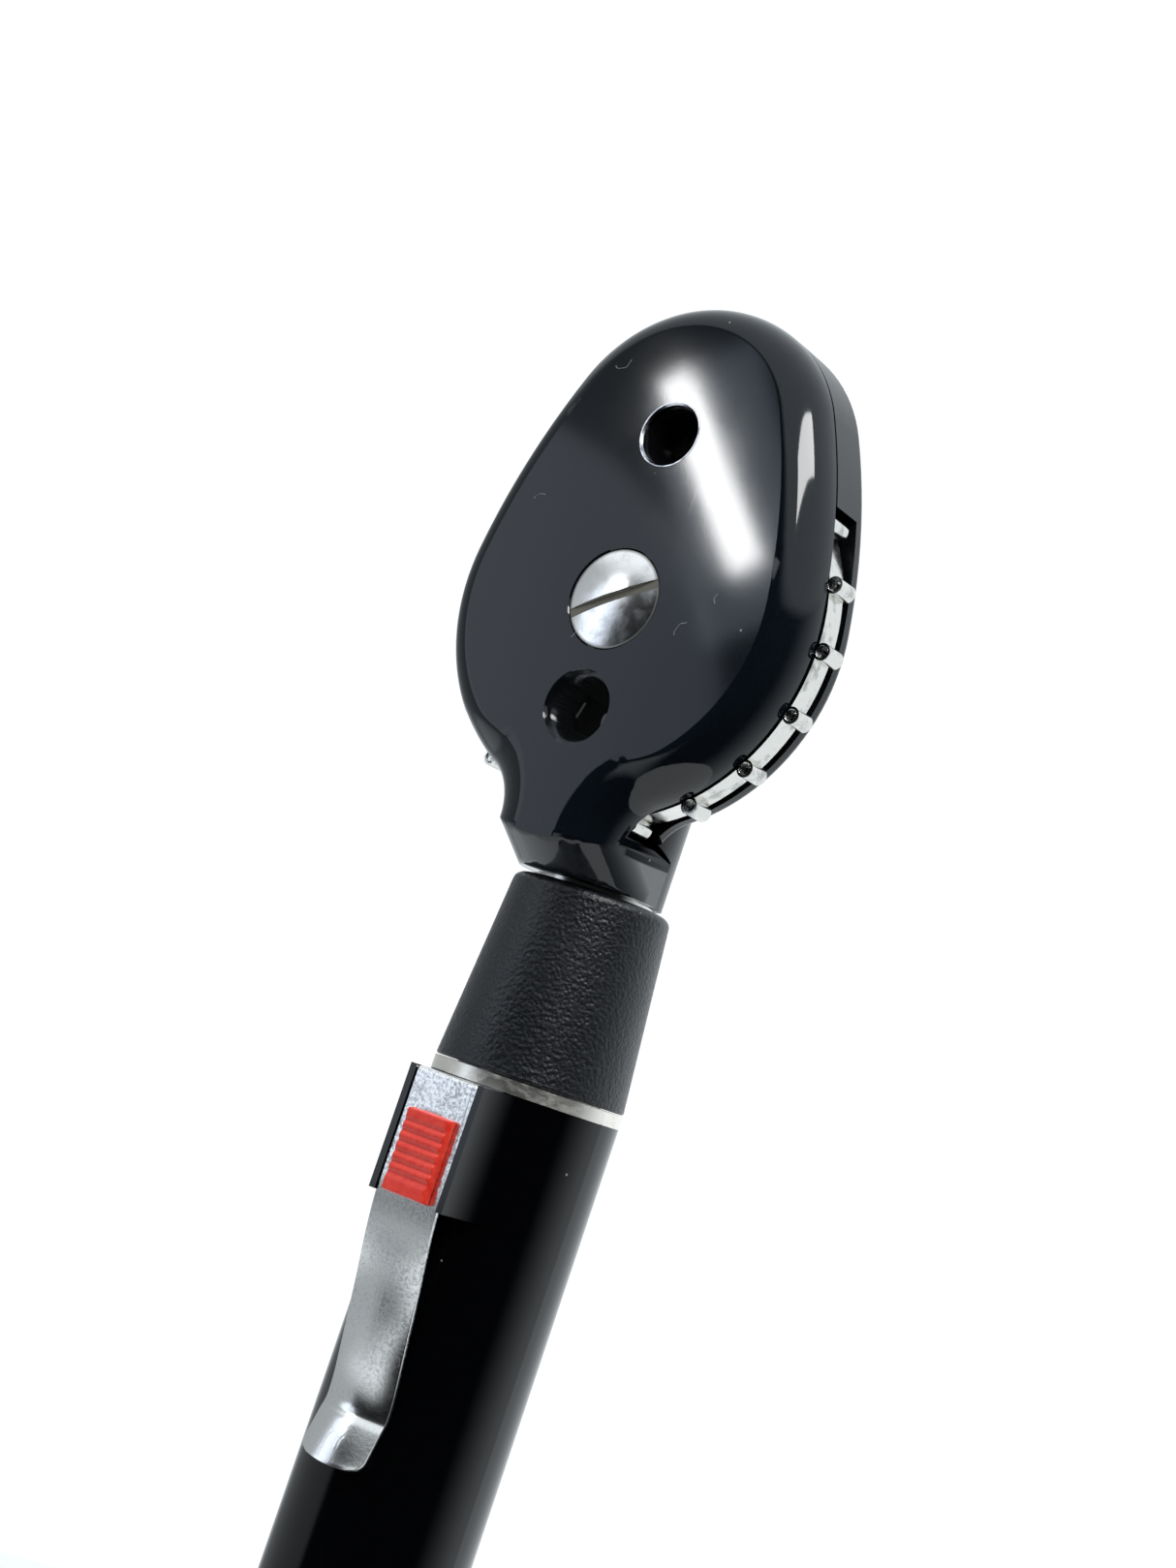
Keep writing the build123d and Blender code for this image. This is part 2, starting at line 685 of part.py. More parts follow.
def clip_plate():
    """Flat part of the clip, held between the housing's lips and hooked under the ring."""
    inner = CLIP_FACE_Y + CLIP_SHEET
    plate = strip(CLIP_HALF, (CLIP_FACE_Y, inner), (CLIP_FLEX_Z + 0.05, CLIP_TOP))
    plate += strip(CLIP_HALF, (CLIP_FACE_Y, -9.0), (CLIP_TOP - 0.55, CLIP_TOP))
    front_edges = edges_at_depth(plate, CLIP_FACE_Y).filter_by(Axis.X)
    plate = fillet(front_edges.sort_by(Axis.Z)[-1], 0.5)
    return plate - strip(1.6, (CLIP_FACE_Y - BEHIND, inner + BEHIND), (101.4, 108.9))


def clip_leaf():
    """Spring leaf that runs in to the barrel and turns out at its tip."""
    touch_y, touch_z = LEAF_TOUCH
    tip_y, tip_z = LEAF_TIP
    top = CLIP_FLEX_Z - 0.05
    profile = [
        (CLIP_FACE_Y, top),
        (CLIP_FACE_Y + CLIP_SHEET, top),
        (LEAF_KNEE[0] + CLIP_SHEET, LEAF_KNEE[1]),
        (touch_y + CLIP_SHEET, touch_z + 1.6),
        (touch_y + CLIP_SHEET, touch_z - 0.6),
        (tip_y + CLIP_SHEET * 0.9, tip_z - 0.2),
        LEAF_TIP,
        (touch_y, touch_z - 0.4),
        (touch_y, touch_z + 1.6),
        LEAF_KNEE,
    ]
    leaf = side_profile(profile, CLIP_HALF)
    round_end = rod(TIP_R, -OUTSIDE, 0, 0, tip_z + TIP_R - 0.4)
    return leaf & (round_end + strip(5, (-OUTSIDE, 0), (touch_z - 1.3, CLIP_FLEX_Z + 1)))


# ---- switch -------------------------------------------------------------------------------
BUTTON_HALF = (2.9, 4.25)     # half-width and half-height at its foot
BUTTON_TOP_HALF = (2.6, 4.05)
BUTTON_FOOT_Y = CLIP_FACE_Y - 0.05
BUTTON_TOP_Y = -14.15
RIB_COUNT = 7
GROOVE_R = 0.38
SLIDER_Y = (-12.35, -10.6)


def button_face(half, y):
    """Rectangle about the switch's middle at depth y."""
    half_width, half_height = half
    low = SWITCH_Z - half_height
    high = SWITCH_Z + half_height
    corners = [(-half_width, low), (half_width, low), (half_width, high), (-half_width, high)]
    outline = Polyline(*[(x, y, z) for x, z in corners], close=True)
    return Face(Wire(outline.edges()))


def slide_button():
    """Ribbed button with a neck through the clip plate and a slider behind it."""
    foot = button_face(BUTTON_HALF, BUTTON_FOOT_Y)
    button = loft([foot, button_face(BUTTON_TOP_HALF, BUTTON_TOP_Y)])
    pitch = 2 * BUTTON_TOP_HALF[1] / (RIB_COUNT + 0.2)
    groove = Rot(0, 90, 0) * Cylinder(GROOVE_R, 8)
    for index in range(RIB_COUNT - 1):
        z = SWITCH_Z + (index - (RIB_COUNT - 2) / 2) * pitch
        button -= Pos(0, BUTTON_TOP_Y - 0.1, z) * groove
    button += strip(1.45, (BUTTON_FOOT_Y - RUN, SLIDER_Y[0] + 0.05), (101.5, 105.8))
    return button + strip(3.1, SLIDER_Y, (101.6, 108.3))


def switch_contact():
    """Sprung bridge on the slider's back."""
    back = SLIDER_Y[1]
    bend = back + 0.4
    touch = -8.45
    profile = [
        (back, 102.2),
        (back, 107.7),
        (bend, 107.7),
        (touch, 106.6),
        (touch, 106.2),
        (bend, 104.9),
        (touch, 103.6),
        (touch, 103.2),
        (bend, 102.2),
    ]
    return side_profile(profile, 1.5)


# ---- cells and end cap --------------------------------------------------------------------
CELL_START = 8.05        # underside of the lower cell
CELL_TIP = 1.0
FLUTE_COUNT = 36
FLUTE_R = 0.35
FLUTE_Z = (5.6, 8.8)     # the band below it is plain, for a stand or a strap cup


def cell(low):
    """Penlight cell with its positive cap upwards."""
    high = low + CELL_LENGTH
    return cyl(CELL_R, low, high) + cyl(2.7, high - 0.1, high + CELL_TIP)


def battery_lower():
    return cell(CELL_START)


def battery_upper():
    return cell(CELL_START + CELL_LENGTH + CELL_TIP + 0.05)


def battery_spring():
    """Wire spring in the end cap."""
    path = Helix(pitch=1.7, height=4.4, radius=5.2)
    section = Plane(origin=path @ 0, z_dir=path % 0) * Circle(0.4)
    return Pos(0, 0, 3.0) * sweep(section, path=path, is_frenet=True)


def end_cap():
    """Screw cap with fine grip flutes."""
    floor_top = 2.5
    shelf = 8.0
    plug_top = 15.8
    cap = turned(
        [
            (0, 0),
            (BARREL_R - 0.8, 0),
            (BARREL_R, 0.8),
            (BARREL_R, CAP_TOP),
            (THREAD_R - RUN, CAP_TOP),
            (THREAD_R - RUN, plug_top),
            (CELL_BORE_R + RUN, plug_top),
            (CELL_BORE_R + RUN, shelf),
            (CELL_R - 0.6, shelf),
            (CELL_R - 0.6, floor_top),
            (0, floor_top),
        ]
    )
    flute_circle = BARREL_R + 0.12
    for index in range(FLUTE_COUNT):
        angle = 2 * math.pi * index / FLUTE_COUNT
        x = flute_circle * math.cos(angle)
        y = flute_circle * math.sin(angle)
        cap -= cyl(FLUTE_R, *FLUTE_Z, x, y)
    return cap


def cap_seal():
    """Rubber ring between the end cap and the barrel."""
    ring = cyl(BARREL_R - 0.3, CAP_TOP + RUN, BARREL_BOTTOM - RUN)
    return ring - cyl(THREAD_R, 0, THREAD_TOP)


# ---- write the parts ----------------------------------------------------------------------
PARTS = [
    handle_body,
    handle_ring,
    insulator,
    centre_contact,
    lower_contact_strip,
    upper_contact_strip,
    clip_plate,
    clip_leaf,
    slide_button,
    switch_contact,
    battery_lower,
    battery_upper,
    battery_spring,
    end_cap,
    cap_seal,
    grip_collar,
    head_stem,
    lamp_base,
    lamp_glass,
    front_cover,
    back_casing,
    casing_screws,
    sight_rim,
    sight_tube,
    dial_window,
    pivot_screw,
    pivot_bush,
    lens_wheel,
    dial_ring,
    wheel_lenses,
    detent_spring,
    detent_ball,
    optical_tube,
    condenser_lens,
    aperture_stop,
    focusing_lens,
    mirror_plate,
    mirror_holder,
    patient_window,
]

os.makedirs("parts", exist_ok=True)
for make in PARTS:
    export_step(make(), "parts/" + make.__name__ + ".step")
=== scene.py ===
import json
import math
import bpy
import bmesh
from mathutils import Matrix, Vector, noise


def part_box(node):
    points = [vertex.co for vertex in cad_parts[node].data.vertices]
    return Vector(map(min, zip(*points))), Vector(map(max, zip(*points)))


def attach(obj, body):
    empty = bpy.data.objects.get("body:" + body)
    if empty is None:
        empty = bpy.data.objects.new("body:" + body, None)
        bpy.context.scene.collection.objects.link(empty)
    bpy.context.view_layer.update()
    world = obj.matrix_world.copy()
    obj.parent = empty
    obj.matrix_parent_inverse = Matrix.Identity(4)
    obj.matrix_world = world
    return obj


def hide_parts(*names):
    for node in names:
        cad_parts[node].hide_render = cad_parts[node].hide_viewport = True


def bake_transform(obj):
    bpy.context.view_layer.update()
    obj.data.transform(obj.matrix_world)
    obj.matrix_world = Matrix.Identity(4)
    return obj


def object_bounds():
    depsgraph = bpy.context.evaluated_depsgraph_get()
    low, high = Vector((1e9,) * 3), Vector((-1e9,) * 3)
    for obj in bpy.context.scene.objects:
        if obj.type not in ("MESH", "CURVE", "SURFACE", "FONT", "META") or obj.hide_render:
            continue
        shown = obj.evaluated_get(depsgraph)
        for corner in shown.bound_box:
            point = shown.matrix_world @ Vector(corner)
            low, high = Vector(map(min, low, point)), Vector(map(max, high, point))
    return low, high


# A pocket ophthalmoscope in a white studio. Metres, +Z up the handle, examiner's side facing -Y.

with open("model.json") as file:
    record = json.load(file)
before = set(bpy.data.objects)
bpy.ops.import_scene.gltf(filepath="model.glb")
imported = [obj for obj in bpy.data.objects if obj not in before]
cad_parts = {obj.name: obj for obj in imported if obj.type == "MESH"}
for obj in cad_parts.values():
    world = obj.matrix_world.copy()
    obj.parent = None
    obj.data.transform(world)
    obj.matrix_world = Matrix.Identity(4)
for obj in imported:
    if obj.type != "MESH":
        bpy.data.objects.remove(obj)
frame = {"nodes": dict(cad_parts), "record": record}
cad_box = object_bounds()
nodes = frame["nodes"]
MM = 0.001


def middle(node):
    """Centre of a CAD node's box."""
    low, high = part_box(node)
    return (low + high) / 2


# ---- places read from the frame --------------------------------------------------------------
FACE_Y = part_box("front_cover")[0].y
PIVOT_Z = middle("pivot_screw").z
SIGHT_Z = middle("sight_rim").z
WINDOW_Z = middle("dial_window").z


# ---- camera ----------------------------------------------------------------------------------
CAMERA_PLACE = Vector((0.15135, -0.20701, 0.11582))
CAMERA_FORWARD = Vector((-0.59945, 0.79209, 0.11511))
CAMERA_UP = Vector((-0.19251, -0.28227, 0.93982))
CAMERA_LENS = 57.81


def make_camera():
    """Camera at the object's right front, looking a little up, rolled so that the handle leans."""
    data = bpy.data.cameras.new("camera")
    data.lens = CAMERA_LENS
    data.sensor_width = 36.0
    data.clip_start = 0.01
    data.clip_end = 50.0
    camera = bpy.data.objects.new("camera", data)
    bpy.context.scene.collection.objects.link(camera)
    forward = CAMERA_FORWARD.normalized()
    right = forward.cross(CAMERA_UP).normalized()
    up = right.cross(forward)
    turn = Matrix((right, up, -forward)).transposed()
    camera.matrix_world = Matrix.Translation(CAMERA_PLACE) @ turn.to_4x4()
    bpy.context.scene.camera = camera


# ---- studio ----------------------------------------------------------------------------------
CARD_DISTANCE = 0.5      # from the face plane to the cards that it mirrors


def seen_in_face(x, z, distance=CARD_DISTANCE):
    """Point on a card in front of the object that the camera sees mirrored at (x, z) on the face."""
    mirrored = Vector((CAMERA_PLACE.x, 2 * FACE_Y - CAMERA_PLACE.y, CAMERA_PLACE.z))
    on_face = Vector((x, FACE_Y, z))
    share = (mirrored.y - (FACE_Y - distance)) / (mirrored.y - FACE_Y)
    return mirrored + share * (on_face - mirrored)


def area_light(name, shape, width, height, radiance, place, turn):
    """Soft light given by how bright its surface is."""
    data = bpy.data.lights.new(name, "AREA")
    data.shape = shape
    data.size = width
    data.size_y = height
    data.energy = radiance * math.pi * width * height * (math.pi / 4 if shape == "ELLIPSE" else 1)
    light = bpy.data.objects.new(name, data)
    bpy.context.scene.collection.objects.link(light)
    light.matrix_world = Matrix.Translation(place) @ turn.to_4x4()
    light.visible_camera = False
    return light


def card(name, place, aim, width, height, radiance, roll=0.0, shape="RECTANGLE"):
    """Light that faces a point."""
    toward = (aim - place).normalized()
    turn = toward.to_track_quat("-Z", "Y").to_matrix() @ Matrix.Rotation(roll, 3, "Z")
    return area_light(name, shape, width, height, radiance, place, turn)


def mirrored_card(name, start, end, width, radiance, shape="RECTANGLE", behind=0.0):
    """Light whose mirror image on the flat face runs from start to end, with the given width."""
    a = seen_in_face(*start, CARD_DISTANCE + behind)
    b = seen_in_face(*end, CARD_DISTANCE + behind)
    enlarged = (a - b).length / (Vector(start) - Vector(end)).length
    along = (a - b).normalized()
    away = Vector((0, -1, 0))
    across = along.cross(away).normalized()
    turn = Matrix((across, along, away)).transposed()
    return area_light(name, shape, width * enlarged, (a - b).length, radiance, (a + b) / 2, turn)


def make_world():
    """White studio, open and dark towards the lower right front, where the photographer stands."""
    world = bpy.data.worlds.new("studio")
    bpy.context.scene.world = world
    world.use_nodes = True
    tree = world.node_tree
    tree.nodes.clear()
    out = tree.nodes.new("ShaderNodeOutputWorld")
    seen = tree.nodes.new("ShaderNodeBackground")
    lit = tree.nodes.new("ShaderNodeBackground")
    choose = tree.nodes.new("ShaderNodeMixShader")
    path = tree.nodes.new("ShaderNodeLightPath")
    where = tree.nodes.new("ShaderNodeTexCoord")
    parts = tree.nodes.new("ShaderNodeSeparateXYZ")
    tree.links.new(where.outputs["Generated"], parts.inputs[0])

    def zone(axis, start, end, low, high):
        """Brightness that goes from low to high as one part of the direction goes from start to end."""
        level = tree.nodes.new("ShaderNodeMapRange")
        level.interpolation_type = "SMOOTHSTEP"
        level.inputs["From Min"].default_value = start
        level.inputs["From Max"].default_value = end
        level.inputs["To Min"].default_value = low
        level.inputs["To Max"].default_value = high
        tree.links.new(parts.outputs[axis], level.inputs["Value"])
        return level.outputs["Result"]

    def combined(operation, a, b):
        node = tree.nodes.new("ShaderNodeMath")
        node.operation = operation
        tree.links.new(a, node.inputs[0])
        tree.links.new(b, node.inputs[1])
        return node.outputs[0]

    behind = zone("Y", -0.1, 1.05, 0.0, 1.1)
    above = zone("Z", 0.31, 0.44, 0.008, 1.0)
    left = zone("X", -0.56, -0.67, 0.0, 0.40)
    low_down = zone("Z", -0.20, -0.45, 0.0, 0.95)
    below = combined("MULTIPLY", low_down, zone("X", 0.0, -0.32, 0.0, 1.0))
    level = combined("MAXIMUM", combined("MAXIMUM", behind, above), combined("MAXIMUM", left, below))
    tree.links.new(level, lit.inputs["Strength"])
    lit.inputs["Color"].default_value = (0.90, 0.96, 1.0, 1)
    seen.inputs["Color"].default_value = (1, 1, 1, 1)
    seen.inputs["Strength"].default_value = 1.05
    tree.links.new(path.outputs["Is Camera Ray"], choose.inputs["Fac"])
    tree.links.new(lit.outputs["Background"], choose.inputs[1])
    tree.links.new(seen.outputs["Background"], choose.inputs[2])
    tree.links.new(choose.outputs["Shader"], out.inputs["Surface"])


def toward(azimuth, elevation):
    """Direction by azimuth from the front, positive to the right, and elevation, in degrees."""
    a = math.radians(azimuth)
    e = math.radians(elevation)
    return Vector((math.sin(a) * math.cos(e), -math.cos(a) * math.cos(e), math.sin(e)))


# Where the cards' mirror images start and end on the face, in x and z, and how wide they are.
HIGHLIGHT = ((-0.0018, 0.1866), (0.0142, 0.1680), 0.0038)
GLOW = ((0.0010, 0.1880), (0.0180, 0.1630), 0.0130)
GREY = ((-0.025, 0.181), (-0.025, 0.089), 0.092)
SOFTBOX_DISTANCE = 0.6


def make_lights():
    """A narrow bright card and its glow, a wide grey card, and a softbox at the upper right."""
    head = Vector((0, 0, PIVOT_Z))
    mirrored_card("highlight_bar", *HIGHLIGHT, radiance=34.0)
    glow = mirrored_card("highlight_glow", *GLOW, radiance=1.3, behind=0.02)
    glow.data.color = (0.80, 0.97, 1.15)
    grey = mirrored_card("grey_card", *GREY, radiance=0.90, shape="ELLIPSE", behind=0.04)
    grey.data.color = (0.88, 0.98, 1.14)
    softbox_place = head + SOFTBOX_DISTANCE * toward(62, 46)
    card("right_softbox", softbox_place, head, width=0.46, height=0.11, radiance=16.0, roll=0.36)


FLOOR_R = 0.16
FLOOR_MIDDLE = (-0.06, 0.05)


def make_floor():
    """Plain pale round floor under the end cap."""
    bm = bmesh.new()
    bmesh.ops.create_circle(bm, cap_ends=True, segments=96, radius=FLOOR_R)
    mesh = bpy.data.meshes.new("floor")
    bm.to_mesh(mesh)
    bm.free()
    floor = bpy.data.objects.new("floor", mesh)
    bpy.context.scene.collection.objects.link(floor)
    floor.location = (*FLOOR_MIDDLE, cad_box[0].z)
    finish = Finish("floor_white", (0.93, 0.93, 0.93), 0.7)
    mottle = finish.spots(0.4, detail=3)
    finish.set_roughness(mottle, 0.62, 0.78)
    mesh.materials.append(finish.material)


# ---- finishes --------------------------------------------------------------------------------
class Finish:
    """A Principled material with the procedural detail of one real surface."""

    def __init__(self, name, colour, roughness, metallic=0.0):
        self.material = bpy.data.materials.new(name)
        self.material.use_nodes = True
        self.tree = self.material.node_tree
        self.shader = next(n for n in self.tree.nodes if n.type == "BSDF_PRINCIPLED")
        self.shader.inputs["Base Color"].default_value = (*colour, 1)
        self.shader.inputs["Roughness"].default_value = roughness
        self.shader.inputs["Metallic"].default_value = metallic
        self.where = self.tree.nodes.new("ShaderNodeTexCoord").outputs["Object"]
        self.last_normal = None

    def node(self, kind):
        return self.tree.nodes.new("ShaderNode" + kind)

    def link(self, source, socket):
        self.tree.links.new(source, socket)

    def stretched(self, scale):
        mapping = self.node("Mapping")
        mapping.inputs["Scale"].default_value = scale
        self.link(self.where, mapping.inputs["Vector"])
        return mapping.outputs["Vector"]

    def spots(self, size, detail=2.0, rough=0.5, stretch=None, distortion=0.0):
        """Noise with features of about the given size in metres."""
        node = self.node("TexNoise")
        node.inputs["Scale"].default_value = 1.0 / size
        node.inputs["Detail"].default_value = detail
        node.inputs["Roughness"].default_value = rough
        node.inputs["Distortion"].default_value = distortion
        self.link(self.stretched(stretch) if stretch else self.where, node.inputs["Vector"])
        return node.outputs["Fac"]

    def cells(self, size, feature="F1", output="Distance", randomness=1.0):
        node = self.node("TexVoronoi")
        node.feature = feature
        node.inputs["Scale"].default_value = 1.0 / size
        node.inputs["Randomness"].default_value = randomness
        self.link(self.where, node.inputs["Vector"])
        return node.outputs[output]

    def band(self, value, low, high, out_low=0.0, out_high=1.0):
        """Maps a value between low and high to another range, and holds it there."""
        node = self.node("MapRange")
        node.inputs["From Min"].default_value = low
        node.inputs["From Max"].default_value = high
        node.inputs["To Min"].default_value = out_low
        node.inputs["To Max"].default_value = out_high
        self.link(value, node.inputs["Value"])
        return node.outputs["Result"]

    def maths(self, operation, a, b):
        node = self.node("Math")
        node.operation = operation
        for index, value in enumerate((a, b)):
            if isinstance(value, (int, float)):
                node.inputs[index].default_value = value
            else:
                self.link(value, node.inputs[index])
        return node.outputs[0]

    def blend_colour(self, share, a, b):
        """Mixes two colours or colour outputs."""
        node = self.node("Mix")
        node.data_type = "RGBA"
        self.link(share, node.inputs["Factor"])
        for socket, value in ((node.inputs[6], a), (node.inputs[7], b)):
            if isinstance(value, tuple):
                socket.default_value = (*value, 1)
            else:
                self.link(value, socket)
        return node.outputs[2]

    def set_colour(self, output):
        self.link(output, self.shader.inputs["Base Color"])

    def set_roughness(self, value, low, high, start=0.3, end=0.7):
        self.link(self.band(value, start, end, low, high), self.shader.inputs["Roughness"])

    def bump(self, height, depth, strength=1.0):
        """Adds relief of the given depth in metres."""
        node = self.node("Bump")
        node.inputs["Distance"].default_value = depth
        node.inputs["Strength"].default_value = strength
        self.link(height, node.inputs["Height"])
        if self.last_normal:
            self.link(self.last_normal, node.inputs["Normal"])
        self.last_normal = node.outputs["Normal"]
        self.link(self.last_normal, self.shader.inputs["Normal"])

    def sparse_dust(self, cell, share_size):
        """Output that is 1 on small scattered specks."""
        distance = self.cells(cell)
        return self.band(distance, share_size, share_size * 0.7, 0.0, 1.0)


def satin_black(name, colour, roughness, grain, grain_depth, dust=0.0045):
    """Moulded black plastic with fine grain, faint wear and a few specks of dust."""
    finish = Finish(name, colour, roughness)
    cloud = finish.spots(0.011, detail=4)
    fine = finish.spots(grain, detail=2)
    lifted = tuple(c * 1.8 for c in colour)
    tone = finish.blend_colour(finish.band(fine, 0.35, 0.7), colour, lifted)
    if dust:
        specks = finish.sparse_dust(dust, 0.035)
        tone = finish.blend_colour(specks, tone, (0.42, 0.42, 0.40))
    finish.set_colour(tone)
    finish.set_roughness(cloud, roughness * 0.85, roughness * 1.25)
    finish.bump(fine, grain_depth)
    return finish


def cover_black():
    finish = satin_black("cover_black", (0.0034, 0.0052, 0.0078), 0.058, 0.00018, 0.0000004)
    scratches = finish.spots(0.0016, detail=1, stretch=(1.0, 1.0, 0.03), distortion=0.4)
    finish.bump(finish.band(scratches, 0.71, 0.74), 0.0000005, 0.5)
    finish.shader.inputs["Specular IOR Level"].default_value = 0.43
    return finish


def casing_black():
    return satin_black("casing_black", (0.003, 0.0035, 0.0045), 0.24, 0.00025, 0.000003)


def handle_gloss():
    finish = satin_black("handle_gloss", (0.0005, 0.0006, 0.0010), 0.10, 0.00022, 0.0000005, dust=0.006)
    waves = finish.spots(0.006, detail=1, stretch=(1.0, 1.0, 0.25))
    finish.bump(waves, 0.000006)
    return finish


def collar_leather():
    """Hard rubber with a leather grain."""
    finish = Finish("collar_leather", (0.010, 0.012, 0.016), 0.36)
    pebble = finish.cells(0.00038, feature="SMOOTH_F1")
    creases = finish.spots(0.00036, detail=3, rough=0.65)
    cloud = finish.spots(0.009, detail=3)
    raised = finish.band(creases, 0.3, 0.7)
    tone = finish.blend_colour(raised, (0.004, 0.005, 0.0075), (0.011, 0.013, 0.017))
    specks = finish.sparse_dust(0.008, 0.025)
    finish.set_colour(finish.blend_colour(specks, tone, (0.5, 0.5, 0.48)))
    finish.set_roughness(cloud, 0.27, 0.36)
    finish.bump(pebble, 0.00009, 0.7)
    finish.bump(creases, 0.00009, 0.8)
    return finish


def cap_plastic():
    return satin_black("cap_plastic", (0.006, 0.0065, 0.007), 0.28, 0.0003, 0.000008)


def worn_nickel():
    """Warm plated ring with patina spots."""
    finish = Finish("worn_nickel", (0.80, 0.76, 0.66), 0.22, 1.0)
    patina = finish.spots(0.0035, detail=5, rough=0.7, stretch=(1, 1, 2.0))
    stain = finish.band(patina, 0.59, 0.70)
    finish.set_colour(finish.blend_colour(stain, (0.97, 0.94, 0.87), (0.40, 0.37, 0.30)))
    finish.set_roughness(patina, 0.30, 0.55, 0.45, 0.7)
    finish.bump(patina, 0.00001)
    return finish


def worn_chrome_bright_tip():
    """Spring strip whose plating is dulled with fine grey mottling, with a painted highlight: the mottling
    fades out at the tip, so the tip is painted as bright chrome.
    """
    finish = Finish("worn_chrome_bright_tip", (0.80, 0.80, 0.79), 0.25, 1.0)
    fine = finish.spots(0.00035, detail=3, rough=0.7)
    cloud = finish.spots(0.004, detail=4)
    patches = finish.band(cloud, 0.35, 0.65, 0.45, 1.0)
    mottle = finish.maths("MULTIPLY", finish.band(fine, 0.45, 0.62), patches)
    height = finish.node("SeparateXYZ")
    finish.link(finish.where, height.inputs[0])
    # painted highlight: below 79 mm most of the mottling is taken out, so the clip's tip is painted bright
    tip_highlight_fade = finish.band(height.outputs["Z"], 0.079, 0.090, 0.12, 1.0)
    mottle = finish.maths("MULTIPLY", mottle, tip_highlight_fade)
    finish.set_colour(finish.blend_colour(mottle, (0.90, 0.90, 0.89), (0.50, 0.51, 0.53)))
    finish.set_roughness(mottle, 0.16, 0.42, 0.0, 1.0)
    finish.bump(fine, 0.000006)
    scratches = finish.spots(0.001, detail=1, stretch=(1.0, 1.0, 0.05))
    finish.bump(finish.band(scratches, 0.68, 0.72), 0.000004)
    return finish


def screw_chrome():
    """Polished plate over a turned surface, with painted shade, grey-brown and rougher, in the depth of
    the slot.
    """
    finish = Finish("screw_chrome", (0.86, 0.86, 0.85), 0.09, 1.0)
    blotch = finish.spots(0.0016, detail=5, rough=0.65)
    fine = finish.spots(0.00025, detail=3)
    bright = finish.blend_colour(finish.band(blotch, 0.50, 0.72), (0.98, 0.98, 0.97), (0.82, 0.83, 0.85))
    depth = finish.node("SeparateXYZ")
    finish.link(finish.where, depth.inputs[0])
    # painted shade: the slot's floor, deeper than the face, is painted grey-brown
    slot_shade = finish.band(depth.outputs["Y"], FACE_Y + 0.00010, FACE_Y + 0.00018)
    finish.set_colour(finish.blend_colour(slot_shade, bright, (0.21, 0.195, 0.165)))
    worn = finish.band(blotch, 0.45, 0.75, 0.16, 0.30)
    slot_roughness = finish.band(slot_shade, 0.0, 1.0, 0.05, 0.5)
    finish.link(finish.maths("MAXIMUM", worn, slot_roughness), finish.shader.inputs["Roughness"])
    finish.bump(blotch, 0.000008)
    finish.bump(fine, 0.000001)
    return finish


def plain_metal(name, colour, roughness, brushed=0.0003):
    """Turned metal with fine tool marks."""
    finish = Finish(name, colour, roughness, 1.0)
    marks = finish.spots(brushed, detail=2, stretch=(0.15, 0.15, 1.0))
    dull = tuple(c * 0.78 for c in colour)
    finish.set_colour(finish.blend_colour(finish.band(marks, 0.4, 0.7), colour, dull))
    finish.set_roughness(marks, roughness * 0.8, roughness * 1.4)
    finish.bump(marks, 0.000003)
    return finish


def worn_red():
    """Bright red button plastic with scuffed edges."""
    finish = Finish("worn_red", (0.90, 0.035, 0.02), 0.35)
    scuff = finish.spots(0.0009, detail=4, rough=0.65)
    fine = finish.spots(0.00025, detail=3)
    tone = finish.blend_colour(finish.band(scuff, 0.35, 0.65), (0.86, 0.030, 0.016), (0.97, 0.070, 0.040))
    rub = finish.band(finish.spots(0.0006, detail=5, rough=0.75), 0.68, 0.74)
    finish.set_colour(finish.blend_colour(rub, tone, (0.85, 0.45, 0.40)))
    finish.set_roughness(scuff, 0.28, 0.46)
    finish.bump(fine, 0.00002)
    finish.shader.inputs["Subsurface Weight"].default_value = 0.05
    finish.shader.inputs["Subsurface Radius"].default_value = (0.001, 0.0003, 0.0002)
    return finish


def white_plastic():
    finish = Finish("white_plastic", (0.80, 0.79, 0.74), 0.35)
    fine = finish.spots(0.0006, detail=3)
    finish.set_colour(finish.blend_colour(fine, (0.70, 0.69, 0.63), (0.84, 0.83, 0.79)))
    finish.set_roughness(fine, 0.3, 0.45)
    finish.bump(fine, 0.00001)
    return finish


def wheel_silver():
    """Turned aluminium rim with a cream tinge, on a wheel that is dead black further in."""
    finish = Finish("wheel_silver", (0.80, 0.78, 0.72), 0.28, 1.0)
    marks = finish.spots(0.0004, detail=3, stretch=(1.0, 0.4, 1.0))
    stain = finish.spots(0.0022, detail=4, rough=0.65)
    bright = finish.blend_colour(finish.band(stain, 0.52, 0.7), (0.80, 0.79, 0.75), (0.34, 0.34, 0.33))
    spoke = finish.node("VectorMath")
    spoke.operation = "MULTIPLY_ADD"
    spoke.inputs[1].default_value = (1, 0, 1)
    spoke.inputs[2].default_value = (0, 0, -PIVOT_Z)
    finish.link(finish.where, spoke.inputs[0])
    reach = finish.node("VectorMath")
    reach.operation = "LENGTH"
    finish.link(spoke.outputs["Vector"], reach.inputs[0])
    rim = finish.band(reach.outputs["Value"], 0.0199, 0.0201)
    finish.set_colour(finish.blend_colour(rim, (0.002, 0.002, 0.002), bright))
    finish.link(rim, finish.shader.inputs["Metallic"])
    finish.set_roughness(marks, 0.10, 0.26)
    finish.bump(marks, 0.000005)
    return finish


def tube_black():
    finish = Finish("tube_black", (0.004, 0.004, 0.005), 0.18)
    fine = finish.spots(0.0004, detail=2)
    finish.set_roughness(fine, 0.12, 0.26)
    finish.bump(fine, 0.000006)
    return finish


